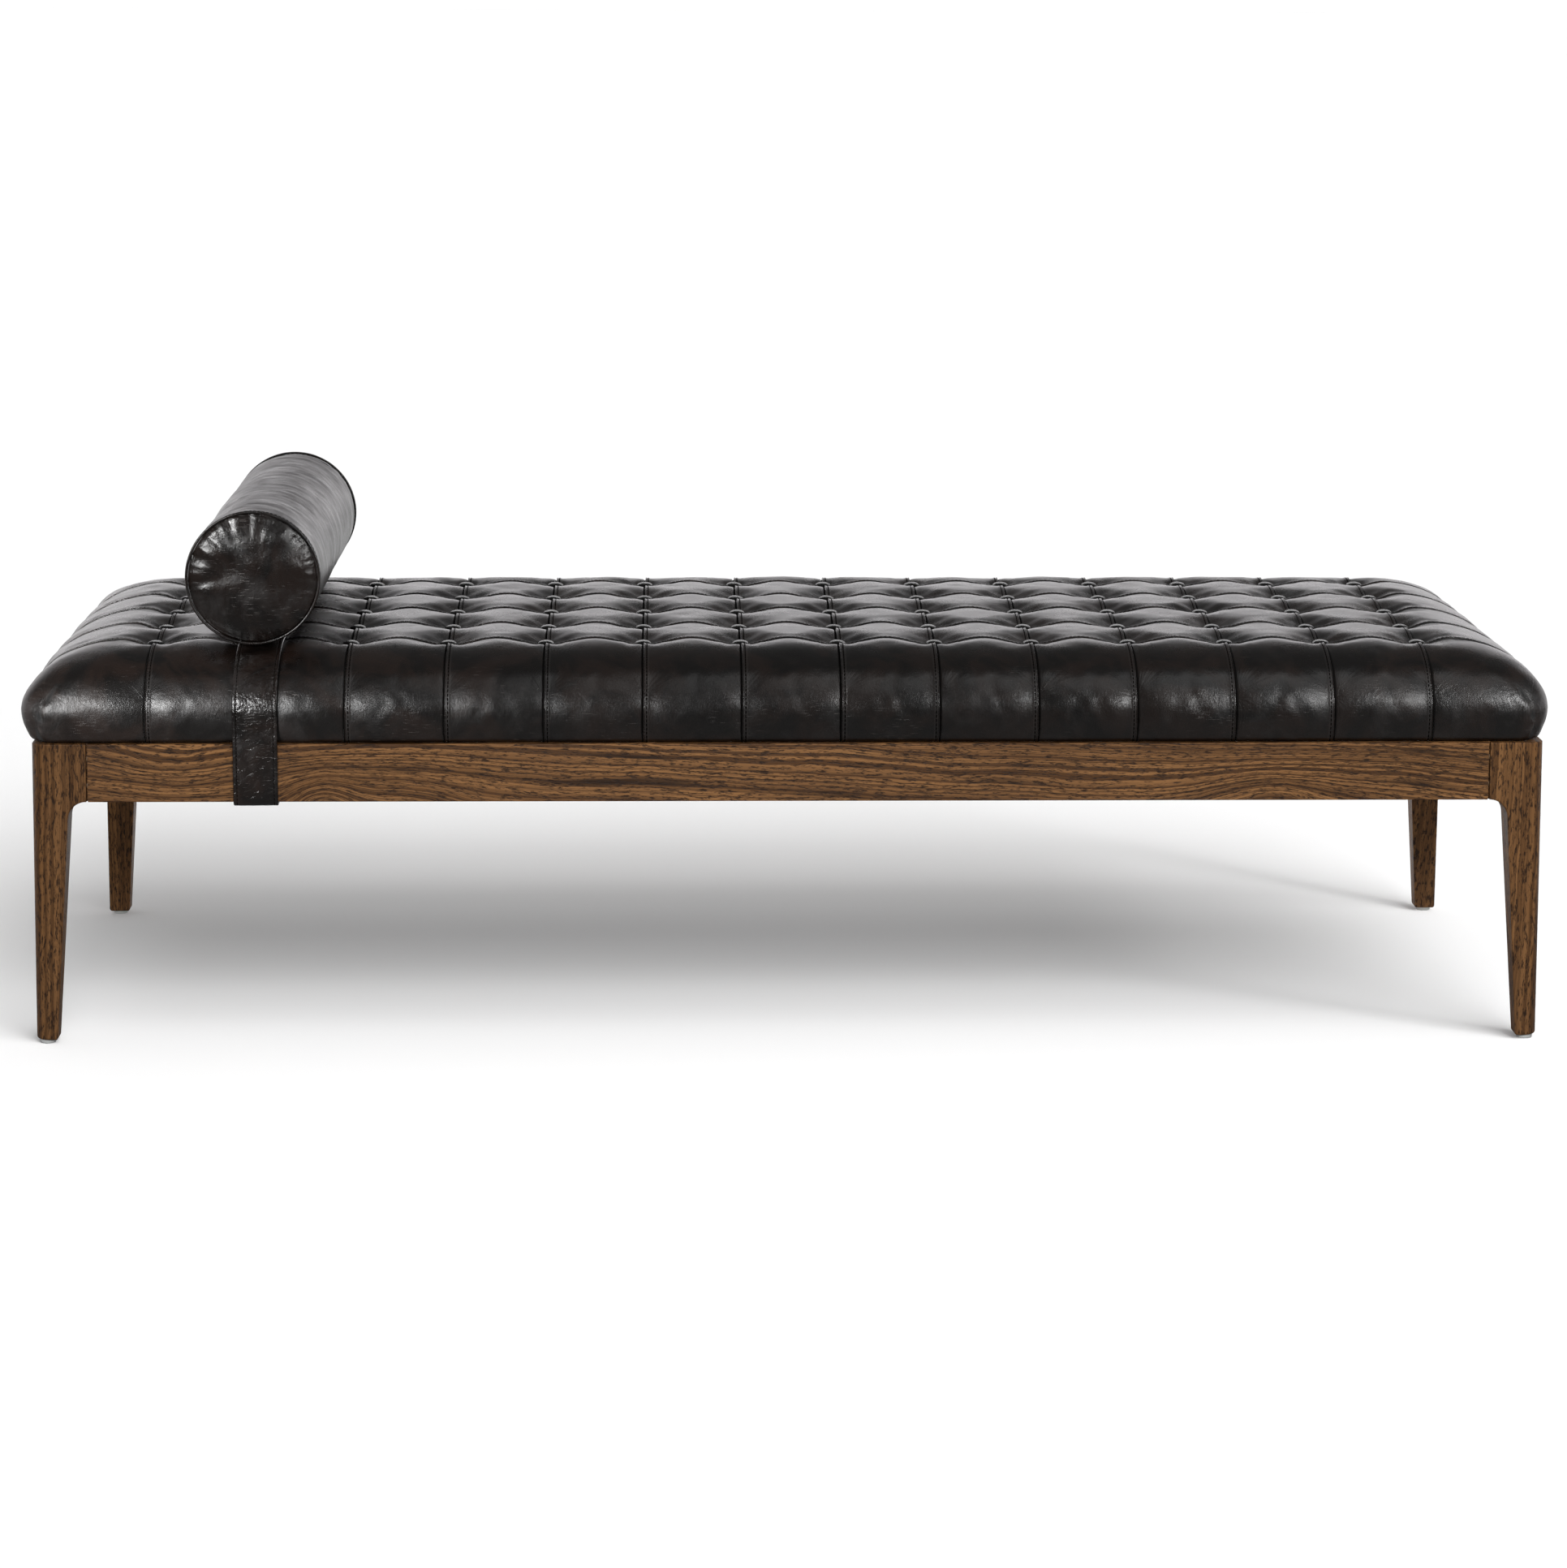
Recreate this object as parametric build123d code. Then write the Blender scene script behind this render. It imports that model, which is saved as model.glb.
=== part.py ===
from build123d import *
import os
from math import asin, cos, pi, sin

# A tufted leather daybed on a wooden frame, with a bolster held by a strap.
# Millimetres, +Z up. The origin is on the floor under the middle of the frame.
# +X runs along the bed, the bolster lies near the -X end, and -Y is the front.

# ---- Driving dimensions: frame ----
FRAME_LENGTH = 1943.0
FRAME_DEPTH = 764.0
RAIL_TOP = 392.0
RAIL_HEIGHT = 75.0
RAIL_THICKNESS = 24.0
ARRIS_RADIUS = 1.5
SHADOW_GAP = 2.4
SHADOW_GAP_DEPTH = 8.0
LEG_BLOCK = 70.0
LEG_NECK = 46.0
LEG_FOOT = 29.0
LEG_OUTER_RADIUS = 18.0
LEG_EDGE_RADIUS = 2.5
FOOT_EDGE_RADIUS = 4.0
COVE_RADIUS = LEG_BLOCK - LEG_NECK
GLIDE_HEIGHT = 5.0
GLIDE_RADIUS = 10.0
GLIDE_EDGE_RADIUS = 1.5
NAIL_RADIUS = 1.3
NAIL_HEAD_RADIUS = 3.0
NAIL_HEAD_LOW = 1.5
NAIL_HEAD_HEIGHT = 1.5
NAIL_TIP = 28.0

# ---- Joinery and seat support ----
GLUE_GAP = 0.05
CUT_PAST = 1.0
DOWEL_RADIUS = 5.0
DOWEL_LENGTH = 50.0
DOWEL_HEIGHTS = (20.0, 55.0)
LEDGER_SIZE = 25.0
LEDGER_LENGTH = 1780.0
LEDGER_SCREWS = 6
LEDGER_SCREW_INSET = 60.0
CROSS_RAIL_WIDTH = 60.0
CROSS_RAIL_HEIGHT = 24.0
CROSS_RAIL_PLACES = (-866.0, -508.0, -127.0, 127.0, 508.0, 866.0)
CROSS_RAIL_END_GAP = 0.4
SEAT_GAP = 0.9
SCREW_RADIUS = 2.0
SCREW_HEAD_RADIUS = 4.0
SCREW_HEAD_HEIGHT = 2.0
SCREW_LENGTH = 40.0
BOARD_SCREW_LENGTH = 35.0
BOARD_SCREW_PLACES = (-300.0, 64.0, 300.0)

# ---- Upholstered seat ----
SEAT_LENGTH = 1960.0
SEAT_DEPTH = 780.0
SEAT_TOP = 507.2
SEAT_WIDEST = 433.0
SHOULDER_REACH = 125.0
TUCK_REACH = 16.0
SEAT_CORNER = 40.0
SEAT_TOP_CORNER = 60.0
CORNER_SHRINK = 0.7
TUCK_STEPS = 6
SHOULDER_STEPS = 8
LEATHER = 1.5
LAYER_GAP = 1.0
WADDING = 10.0
DUST_CLOTH = 0.6
FOAM_EDGE_TOP = 452.0
FOAM_TOP = 482.0
FOAM_STEP = 45.0
FLANGE_WIDTH = 32.0
BOARD_THICKNESS = 16.0
BOARD_CLEARANCE = 4.0
BOARD_CORNER = 24.0
DUST_MARGIN = 14.0

# ---- Tufting ----
TUFT_PITCH = 127.0
TUFT_COLUMNS = 14
TUFT_ROWS = 5
BUTTON_RADIUS = 10.5
BUTTON_RIM_LOW = 489.5
BUTTON_RIM_HEIGHT = 2.5
BUTTON_TOP = 495.5
BUTTON_CHAMFER = 1.0
DIMPLE_FLOOR_RADIUS = 11.5
DIMPLE_MOUTH_RADIUS = 17.0
TWINE_RADIUS = 1.2
TWINE_HOLE = 2.0
WASHER_RADIUS = 7.0
WASHER_THICKNESS = 1.6
WASHER_POCKET = 8.0
WASHER_POCKET_DEPTH = 2.0

# ---- Staples under the seat ----
STAPLE_PITCH = 120.0
STAPLE_CROWN = 10.0
STAPLE_WIRE = 0.6
STAPLE_LEG = 8.0
STAPLE_INSET = 24.0

# ---- Bolster ----
BOLSTER_X = -692.0
BOLSTER_RADIUS = 87.0
BOLSTER_LENGTH = 642.0
PIPING_RADIUS = 1.8
CAP_DOME = 8.0
CAP_EDGE = 3.0
BOLSTER_CORE_GAP = 0.5
CAP_CORE_GAP = 0.2

# ---- Strap ----
STRAP_X = -685.0
STRAP_WIDTH = 57.0
STRAP_THICKNESS = 2.9
STRAP_CLEARANCE = 0.4
STRAP_RAIL_GAP = 0.6
STRAP_UNDER_GAP = 1.8
STRAP_CORNER = 2.0
STRAP_END_Y = 292.0
WEB_WIDTH = 50.0
WEB_THICKNESS = 2.0
WEB_END_Y = 350.0
SNAP_PLACES = (308.0, 334.0)
SNAP_POST_RADIUS = 2.5
SNAP_CAP_RADIUS = 6.0
SNAP_CAP_THICKNESS = 1.2

# ---- Worked out from the driving dimensions ----
HALF_LENGTH = FRAME_LENGTH / 2
HALF_DEPTH = FRAME_DEPTH / 2
RAIL_BOTTOM = RAIL_TOP - RAIL_HEIGHT
SEAT_BOTTOM = RAIL_TOP + SEAT_GAP + DUST_CLOTH
BOARD_BOTTOM = SEAT_BOTTOM + LEATHER
BOARD_TOP = BOARD_BOTTOM + BOARD_THICKNESS
CROSS_RAIL_TOP = RAIL_TOP + SEAT_GAP
CROSS_RAIL_BOTTOM = CROSS_RAIL_TOP - CROSS_RAIL_HEIGHT
RAIL_INNER_Y = HALF_DEPTH - RAIL_THICKNESS
LEDGER_INNER_Y = RAIL_INNER_Y - LEDGER_SIZE
STRAP_TOP = SEAT_TOP + STRAP_CLEARANCE + STRAP_THICKNESS
BOLSTER_Z = STRAP_TOP + BOLSTER_RADIUS
SIDES = {"left": -1, "right": 1}
FACES = {"front": -1, "back": 1}

parts = {}


def block(low, high):
    """A box between two opposite corners."""
    size = [high[i] - low[i] for i in range(3)]
    middle = [(high[i] + low[i]) / 2 for i in range(3)]
    return Pos(*middle) * Box(*size)


def rod(start, end, radius):
    """A round bar from one point to another."""
    a, b = Vector(*start), Vector(*end)
    plane = Plane(origin=a, z_dir=b - a)
    return extrude(plane * Circle(radius), (b - a).length)


def slab(half_x, half_y, corner, low, high):
    """A flat plate with rounded corners, centred on the Z axis."""
    outline = RectangleRounded(2 * half_x, 2 * half_y, corner)
    return extrude(Pos(0, 0, low) * outline, high - low)


def dome_arc(radius, base, rise):
    """Side view of a shallow dome: from its rim at (radius, base) to its crown on the axis."""
    ball = (radius**2 + rise**2) / (2 * abs(rise))
    half_angle = asin(radius / ball) / 2
    sign = 1 if rise > 0 else -1
    centre = base + rise - sign * ball
    middle = (ball * sin(half_angle), centre + sign * ball * cos(half_angle))
    return ThreePointArc((radius, base), middle, (0, base + rise))


def tuft_points():
    """Where the buttons sit, row by row."""
    for row in range(TUFT_ROWS):
        for column in range(TUFT_COLUMNS):
            x = (column - (TUFT_COLUMNS - 1) / 2) * TUFT_PITCH
            y = (row - (TUFT_ROWS - 1) / 2) * TUFT_PITCH
            yield x, y


# ---- Legs, glides and nails ----
def leg_outline(plane):
    """Side view of a leg: straight outside, coved and tapered inside."""
    cove_low = RAIL_BOTTOM - COVE_RADIUS
    foot = GLIDE_HEIGHT
    slant = cos(pi / 4) * COVE_RADIUS
    cove_middle = (LEG_BLOCK - slant, cove_low + slant)
    edges = Polyline(
        (LEG_NECK, cove_low),
        (LEG_FOOT, foot),
        (0, foot),
        (0, RAIL_TOP),
        (LEG_BLOCK, RAIL_TOP),
        (LEG_BLOCK, RAIL_BOTTOM),
    )
    cove = ThreePointArc((LEG_BLOCK, RAIL_BOTTOM), cove_middle, (LEG_NECK, cove_low))
    return plane * make_face(edges + cove)


def is_shaft_edge(edge):
    """True for the long edges below the rails, apart from the rounded outer corner."""
    middle = edge.center()
    rises = edge.bounding_box().size.Z > COVE_RADIUS / 2
    return rises and middle.Z < RAIL_BOTTOM and max(middle.X, middle.Y) > LEG_OUTER_RADIUS


def is_outer_top_edge(edge):
    """True for the edges of the block's top that face outwards."""
    middle = edge.center()
    outward = min(middle.X, middle.Y) < LEG_OUTER_RADIUS
    return outward and max(middle.X, middle.Y) < LEG_BLOCK - 1 and abs(middle.Z - RAIL_TOP) < 0.1


def plain_leg():
    """A leg with its outer corner on the Z axis, growing towards +X and +Y."""
    seen_from_front = extrude(leg_outline(Plane.XZ), -LEG_BLOCK)
    side_plane = Plane(origin=(0, 0, 0), x_dir=(0, 1, 0), z_dir=(1, 0, 0))
    seen_from_side = extrude(leg_outline(side_plane), LEG_BLOCK)
    leg = seen_from_front & seen_from_side
    upright = leg.edges().filter_by(Axis.Z)
    leg = fillet(upright.sort_by(lambda e: e.center().X + e.center().Y)[0], LEG_OUTER_RADIUS)
    leg = fillet(leg.edges().filter_by(is_shaft_edge), LEG_EDGE_RADIUS)
    foot_edges = leg.edges().filter_by(lambda e: abs(e.center().Z - GLIDE_HEIGHT) < 0.1)
    leg = fillet(foot_edges, FOOT_EDGE_RADIUS)
    return fillet(leg.edges().filter_by(is_outer_top_edge), ARRIS_RADIUS)


def place_at_corner(shape, side, face):
    """Moves a shape made for the -X -Y corner to any of the four corners."""
    shape = Pos(-HALF_LENGTH, -HALF_DEPTH, 0) * shape
    if side > 0:
        shape = mirror(shape, Plane.YZ)
    if face > 0:
        shape = mirror(shape, Plane.XZ)
    return shape


def make_legs():
    leg = plain_leg()
    middle = LEG_FOOT / 2
    leg -= rod((middle, middle, 0), (middle, middle, NAIL_TIP + CUT_PAST), NAIL_RADIUS + GLUE_GAP)
    rail_middle = RAIL_THICKNESS / 2
    reach = DOWEL_LENGTH / 2 + GLUE_GAP
    for height in DOWEL_HEIGHTS:
        z = RAIL_BOTTOM + height
        near, far = LEG_BLOCK - reach, LEG_BLOCK + CUT_PAST
        leg -= rod((near, rail_middle, z), (far, rail_middle, z), DOWEL_RADIUS + GLUE_GAP)
        leg -= rod((rail_middle, near, z), (rail_middle, far, z), DOWEL_RADIUS + GLUE_GAP)
    for side_name, side in SIDES.items():
        for face_name, face in FACES.items():
            parts[f"leg_{face_name}_{side_name}"] = place_at_corner(leg, side, face)


def make_glides():
    middle = LEG_FOOT / 2
    head_top = NAIL_HEAD_LOW + NAIL_HEAD_HEIGHT
    glide = rod((middle, middle, 0), (middle, middle, GLIDE_HEIGHT), GLIDE_RADIUS)
    lower_rim = glide.edges().sort_by(Axis.Z)[0]
    glide = fillet(lower_rim, GLIDE_EDGE_RADIUS)
    glide -= rod((middle, middle, -CUT_PAST), (middle, middle, head_top), NAIL_HEAD_RADIUS + GLUE_GAP)
    glide -= rod((middle, middle, 0), (middle, middle, GLIDE_HEIGHT + CUT_PAST), NAIL_RADIUS + GLUE_GAP)
    nail = rod((middle, middle, NAIL_HEAD_LOW), (middle, middle, head_top), NAIL_HEAD_RADIUS)
    nail += rod((middle, middle, head_top), (middle, middle, NAIL_TIP), NAIL_RADIUS)
    nails = []
    for side_name, side in SIDES.items():
        for face_name, face in FACES.items():
            parts[f"glide_{face_name}_{side_name}"] = place_at_corner(glide, side, face)
            nails.append(place_at_corner(nail, side, face))
    parts["glide_nails"] = Compound(nails)


# ---- Rails, dowels and seat support ----
def softened(rail, outer_face):
    """Rounds the long outer edges of a rail. outer_face sorts edges outwards."""
    long_edges = rail.edges().sort_by(lambda e: e.length)[-4:]
    outer = sorted(long_edges, key=outer_face)[-2:]
    return fillet(outer, ARRIS_RADIUS)


def shadow_gap(x_range, y_range):
    """Cuts the narrow recess that shows as a dark line where a rail meets a leg."""
    low = (x_range[0], y_range[0], RAIL_BOTTOM - CUT_PAST)
    return block(low, (x_range[1], y_range[1], RAIL_TOP + CUT_PAST))


def make_rails():
    hole = DOWEL_RADIUS + GLUE_GAP
    reach = DOWEL_LENGTH / 2
    long_end = HALF_LENGTH - LEG_BLOCK
    short_end = HALF_DEPTH - LEG_BLOCK
    dowels = []
    for face_name, face in FACES.items():
        y_out, y_in = sorted((face * HALF_DEPTH, face * RAIL_INNER_Y))
        rail = block((-long_end, y_out, RAIL_BOTTOM), (long_end, y_in, RAIL_TOP))
        rail = softened(rail, lambda e: face * e.center().Y)
        y = face * (HALF_DEPTH - RAIL_THICKNESS / 2)
        gap_y = sorted((face * (HALF_DEPTH + CUT_PAST), face * (HALF_DEPTH - SHADOW_GAP_DEPTH)))
        for side in SIDES.values():
            gap_x = sorted((side * (long_end - SHADOW_GAP), side * (long_end + CUT_PAST)))
            rail -= shadow_gap(gap_x, gap_y)
            for height in DOWEL_HEIGHTS:
                z = RAIL_BOTTOM + height
                inner = (side * (long_end - reach - GLUE_GAP), y, z)
                rail -= rod(inner, (side * (long_end + CUT_PAST), y, z), hole)
                start, end = side * (long_end - reach), side * (long_end + reach)
                dowels.append(rod((start, y, z), (end, y, z), DOWEL_RADIUS))
        parts[f"rail_{face_name}"] = rail
    for side_name, side in SIDES.items():
        x_a, x_b = sorted((side * HALF_LENGTH, side * (HALF_LENGTH - RAIL_THICKNESS)))
        rail = block((x_a, -short_end, RAIL_BOTTOM), (x_b, short_end, RAIL_TOP))
        rail = softened(rail, lambda e: side * e.center().X)
        x = side * (HALF_LENGTH - RAIL_THICKNESS / 2)
        gap_x = sorted((side * (HALF_LENGTH + CUT_PAST), side * (HALF_LENGTH - SHADOW_GAP_DEPTH)))
        for face in FACES.values():
            gap_y = sorted((face * (short_end - SHADOW_GAP), face * (short_end + CUT_PAST)))
            rail -= shadow_gap(gap_x, gap_y)
            for height in DOWEL_HEIGHTS:
                z = RAIL_BOTTOM + height
                inner = (x, face * (short_end - reach - GLUE_GAP), z)
                rail -= rod(inner, (x, face * (short_end + CUT_PAST), z), hole)
                start, end = face * (short_end - reach), face * (short_end + reach)
                dowels.append(rod((x, start, z), (x, end, z), DOWEL_RADIUS))
        parts[f"rail_{side_name}"] = rail
    parts["rail_dowels"] = Compound(dowels)


def screw(head, direction, length, gap=0.0):
    """A flat-headed screw. With a gap it is the hole that the screw goes into."""
    head, direction = Vector(*head), Vector(*direction)
    shoulder = head + direction * SCREW_HEAD_HEIGHT
    tip = head + direction * (length + gap)
    start = head - direction * gap
    shape = rod(tuple(start), tuple(shoulder), SCREW_HEAD_RADIUS + gap)
    return shape + rod(tuple(shoulder), tuple(tip), SCREW_RADIUS + gap)


def make_ledgers():
    screws = []
    z_low = CROSS_RAIL_BOTTOM - LEDGER_SIZE
    for face_name, face in FACES.items():
        y_a, y_b = sorted((face * RAIL_INNER_Y, face * LEDGER_INNER_Y))
        low = (-LEDGER_LENGTH / 2, y_a, z_low)
        ledger = block(low, (LEDGER_LENGTH / 2, y_b, CROSS_RAIL_BOTTOM))
        for index in range(LEDGER_SCREWS):
            share = index / (LEDGER_SCREWS - 1) - 0.5
            x = share * (LEDGER_LENGTH - 2 * LEDGER_SCREW_INSET)
            head = (x, face * LEDGER_INNER_Y, z_low + LEDGER_SIZE / 2)
            ledger -= screw(head, (0, face, 0), SCREW_LENGTH, GLUE_GAP)
            parts[f"rail_{face_name}"] -= screw(head, (0, face, 0), SCREW_LENGTH, GLUE_GAP)
            screws.append(screw(head, (0, face, 0), SCREW_LENGTH))
        parts[f"ledger_{face_name}"] = ledger
    parts["ledger_screws"] = Compound(screws)


def make_cross_rails():
    screws = []
    reach = RAIL_INNER_Y - CROSS_RAIL_END_GAP
    for number, x in enumerate(CROSS_RAIL_PLACES, 1):
        low = (x - CROSS_RAIL_WIDTH / 2, -reach, CROSS_RAIL_BOTTOM)
        rail = block(low, (x + CROSS_RAIL_WIDTH / 2, reach, CROSS_RAIL_TOP))
        for face_name, face in FACES.items():
            for offset in (-CROSS_RAIL_WIDTH / 4, CROSS_RAIL_WIDTH / 4):
                y = face * (RAIL_INNER_Y - LEDGER_SIZE / 2)
                head = (x + offset, y, CROSS_RAIL_TOP)
                hole = screw(head, (0, 0, -1), SCREW_LENGTH, GLUE_GAP)
                rail -= hole
                parts[f"ledger_{face_name}"] -= hole
                screws.append(screw(head, (0, 0, -1), SCREW_LENGTH))
        parts[f"cross_rail_{number}"] = rail
    parts["cross_rail_screws"] = Compound(screws)


# ---- Seat ----
def seat_levels(inset, bottom):
    """Height, side inset and corner radius of each outline in the seat's stack."""
    lower = SEAT_WIDEST - SEAT_BOTTOM
    upper = SEAT_TOP - inset - SEAT_WIDEST
    start = asin((SEAT_WIDEST - bottom) / lower)
    for index in range(TUCK_STEPS, 0, -1):
        angle = start * index / TUCK_STEPS
        side = inset + TUCK_REACH * (1 - cos(angle))
        yield SEAT_WIDEST - lower * sin(angle), side, SEAT_CORNER - side * CORNER_SHRINK
    for index in range(SHOULDER_STEPS + 1):
        angle = pi / 2 * index / SHOULDER_STEPS
        side = inset + SHOULDER_REACH * (1 - cos(angle))
        corner = SEAT_CORNER + (SEAT_TOP_CORNER - SEAT_CORNER) * sin(angle) - inset * CORNER_SHRINK
        yield SEAT_WIDEST + upper * sin(angle), side, corner


def seat_shape(inset=0.0, bottom=SEAT_BOTTOM):
    """The seat as one closed solid, its surface moved inwards by inset."""
    outlines = [
        Pos(0, 0, z) * RectangleRounded(SEAT_LENGTH - 2 * side, SEAT_DEPTH - 2 * side, corner)
        for z, side, corner in seat_levels(inset, bottom)
    ]
    return loft(outlines, ruled=True)


def dimples(gap=0.0):
    """Tapered wells that the buttons pull into the seat."""
    low = BUTTON_RIM_LOW - gap
    slope = (DIMPLE_MOUTH_RADIUS - DIMPLE_FLOOR_RADIUS) / (SEAT_TOP - BUTTON_RIM_LOW)
    high = SEAT_TOP + CUT_PAST
    mouth = DIMPLE_FLOOR_RADIUS + slope * (high - BUTTON_RIM_LOW) + gap
    well = Cone(DIMPLE_FLOOR_RADIUS + gap, mouth, high - low)
    return [Pos(x, y, (low + high) / 2) * well for x, y in tuft_points()]


def upright_rods(low, high, radius):
    """An upright rod at every button, to drill with."""
    return [rod((x, y, low), (x, y, high), radius) for x, y in tuft_points()]


def make_seat():
    hollow = seat_shape(LEATHER, BOARD_BOTTOM) - dimples(LEATHER)
    flange_x = SEAT_LENGTH / 2 - TUCK_REACH - FLANGE_WIDTH
    flange_y = SEAT_DEPTH / 2 - TUCK_REACH - FLANGE_WIDTH
    opening_low, opening_high = SEAT_BOTTOM - CUT_PAST, BOARD_BOTTOM + CUT_PAST
    opening = slab(flange_x, flange_y, BOARD_CORNER, opening_low, opening_high)
    parts["seat_cover"] = seat_shape() - dimples() - hollow - opening

    foam_x = SEAT_LENGTH / 2 - WADDING - LEATHER
    foam_y = SEAT_DEPTH / 2 - WADDING - LEATHER
    edge_block = slab(foam_x, foam_y, SEAT_CORNER, BOARD_TOP, FOAM_EDGE_TOP)
    crown_x, crown_y = foam_x - FOAM_STEP, foam_y - FOAM_STEP
    crown_block = slab(crown_x, crown_y, SEAT_CORNER, FOAM_EDGE_TOP, FOAM_TOP)
    parts["seat_foam"] = edge_block + crown_block
    outside = LEATHER + LAYER_GAP
    wadding = seat_shape(outside, BOARD_TOP) - dimples(outside)
    parts["seat_wadding"] = wadding - parts["seat_foam"]

    half_x = SEAT_LENGTH / 2 - TUCK_REACH - BOARD_CLEARANCE
    half_y = SEAT_DEPTH / 2 - TUCK_REACH - BOARD_CLEARANCE
    board = slab(half_x, half_y, BOARD_CORNER, BOARD_BOTTOM, BOARD_TOP)
    low = BOARD_BOTTOM - CUT_PAST
    board -= upright_rods(low, BOARD_TOP + CUT_PAST, TWINE_HOLE)
    board -= upright_rods(low, BOARD_BOTTOM + WASHER_POCKET_DEPTH, WASHER_POCKET)
    cloth_x, cloth_y = half_x - DUST_MARGIN, half_y - DUST_MARGIN
    cloth = slab(cloth_x, cloth_y, BOARD_CORNER, CROSS_RAIL_TOP, SEAT_BOTTOM)

    screws = []
    for number, x in enumerate(CROSS_RAIL_PLACES, 1):
        for y in BOARD_SCREW_PLACES:
            head = (x, y, CROSS_RAIL_BOTTOM)
            hole = screw(head, (0, 0, 1), BOARD_SCREW_LENGTH, GLUE_GAP)
            parts[f"cross_rail_{number}"] -= hole
            board -= hole
            cloth -= hole
            screws.append(screw(head, (0, 0, 1), BOARD_SCREW_LENGTH))
    parts["seat_board"] = board
    parts["dust_cover"] = cloth
    parts["seat_board_screws"] = Compound(screws)


def make_tufting():
    """Buttons, the twines that pull them down and the washers that hold the twines."""
    rim_top = BUTTON_RIM_LOW + BUTTON_RIM_HEIGHT
    dome = dome_arc(BUTTON_RADIUS, rim_top, BUTTON_TOP - rim_top)
    sides = Polyline(
        (0, BUTTON_TOP),
        (0, BUTTON_RIM_LOW),
        (BUTTON_RADIUS - BUTTON_CHAMFER, BUTTON_RIM_LOW),
        (BUTTON_RADIUS, BUTTON_RIM_LOW + BUTTON_CHAMFER),
        (BUTTON_RADIUS, rim_top),
    )
    button = revolve(Plane.XZ * make_face(sides + dome), Axis.Z)
    washer_low = BOARD_BOTTOM + WASHER_POCKET_DEPTH - WASHER_THICKNESS
    washer_top = BOARD_BOTTOM + WASHER_POCKET_DEPTH
    washer = rod((0, 0, washer_low), (0, 0, washer_top), WASHER_RADIUS)
    washer -= rod((0, 0, washer_low - CUT_PAST), (0, 0, washer_top + CUT_PAST), TWINE_RADIUS + GLUE_GAP)
    twine = rod((0, 0, washer_low), (0, 0, BUTTON_RIM_LOW), TWINE_RADIUS)
    for name, piece in (("tuft_buttons", button), ("tuft_twines", twine), ("twine_washers", washer)):
        parts[name] = Compound([Pos(x, y, 0) * piece for x, y in tuft_points()])


def staple(x, y, along_x):
    """One staple driven upwards: a crown under the cloth and two legs in the board."""
    half = STAPLE_CROWN / 2
    wire = STAPLE_WIRE
    low = CROSS_RAIL_TOP - wire
    shape = block((-half, -wire / 2, low), (half, wire / 2, CROSS_RAIL_TOP))
    for end in (-half, half - wire):
        leg_top = CROSS_RAIL_TOP + STAPLE_LEG
        shape += block((end, -wire / 2, low), (end + wire, wire / 2, leg_top))
    turn = 0 if along_x else 90
    return Pos(x, y, 0) * Rot(0, 0, turn) * shape


def make_staples():
    half_x = SEAT_LENGTH / 2 - TUCK_REACH - STAPLE_INSET
    half_y = SEAT_DEPTH / 2 - TUCK_REACH - STAPLE_INSET
    clear = CROSS_RAIL_WIDTH / 2 + STAPLE_CROWN
    staples = []
    count_x = int(2 * half_x / STAPLE_PITCH)
    count_y = int(2 * half_y / STAPLE_PITCH)
    for face in FACES.values():
        for index in range(1, count_x):
            x = (index / count_x - 0.5) * 2 * half_x
            if all(abs(x - place) > clear for place in CROSS_RAIL_PLACES):
                staples.append(staple(x, face * half_y, True))
    for side in SIDES.values():
        for index in range(1, count_y):
            y = (index / count_y - 0.5) * 2 * half_y
            staples.append(staple(side * half_x, y, False))
    parts["cover_staples"] = Compound(staples)


# ---- Bolster ----
def turned_along_y(outline):
    """Spins a (radius, along) outline about the bolster's own axis."""
    spin_plane = Plane(origin=(BOLSTER_X, 0, BOLSTER_Z), x_dir=(1, 0, 0), z_dir=(0, 0, 1))
    axis = Axis((BOLSTER_X, 0, BOLSTER_Z), (0, 1, 0))
    return revolve(spin_plane * outline, axis)


def make_bolster():
    end = BOLSTER_LENGTH / 2
    tube_end = end - PIPING_RADIUS
    inner = BOLSTER_RADIUS - LEATHER
    corners = [
        (inner, -tube_end),
        (BOLSTER_RADIUS, -tube_end),
        (BOLSTER_RADIUS, tube_end),
        (inner, tube_end),
    ]
    tube = Polyline(*corners, close=True)
    parts["bolster_cover"] = turned_along_y(make_face(tube))
    core_radius = inner - BOLSTER_CORE_GAP
    core_end = tube_end - CAP_EDGE
    parts["bolster_core"] = rod(
        (BOLSTER_X, -core_end, BOLSTER_Z), (BOLSTER_X, core_end, BOLSTER_Z), core_radius
    )
    cap_radius = BOLSTER_RADIUS - 2 * PIPING_RADIUS
    for face_name, face in FACES.items():
        rim = face * (tube_end - CAP_EDGE + CAP_CORE_GAP)
        shoulder = face * tube_end
        crown = face * (tube_end + CAP_DOME)
        outline = Polyline((0, crown), (0, rim), (cap_radius, rim), (cap_radius, shoulder))
        dome = dome_arc(cap_radius, shoulder, face * CAP_DOME)
        parts[f"bolster_cap_{face_name}"] = turned_along_y(make_face(outline + dome))
        along = face * (tube_end + PIPING_RADIUS)
        bead = Pos(BOLSTER_RADIUS - PIPING_RADIUS, along) * Circle(PIPING_RADIUS)
        parts[f"bolster_piping_{face_name}"] = turned_along_y(bead)


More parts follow.
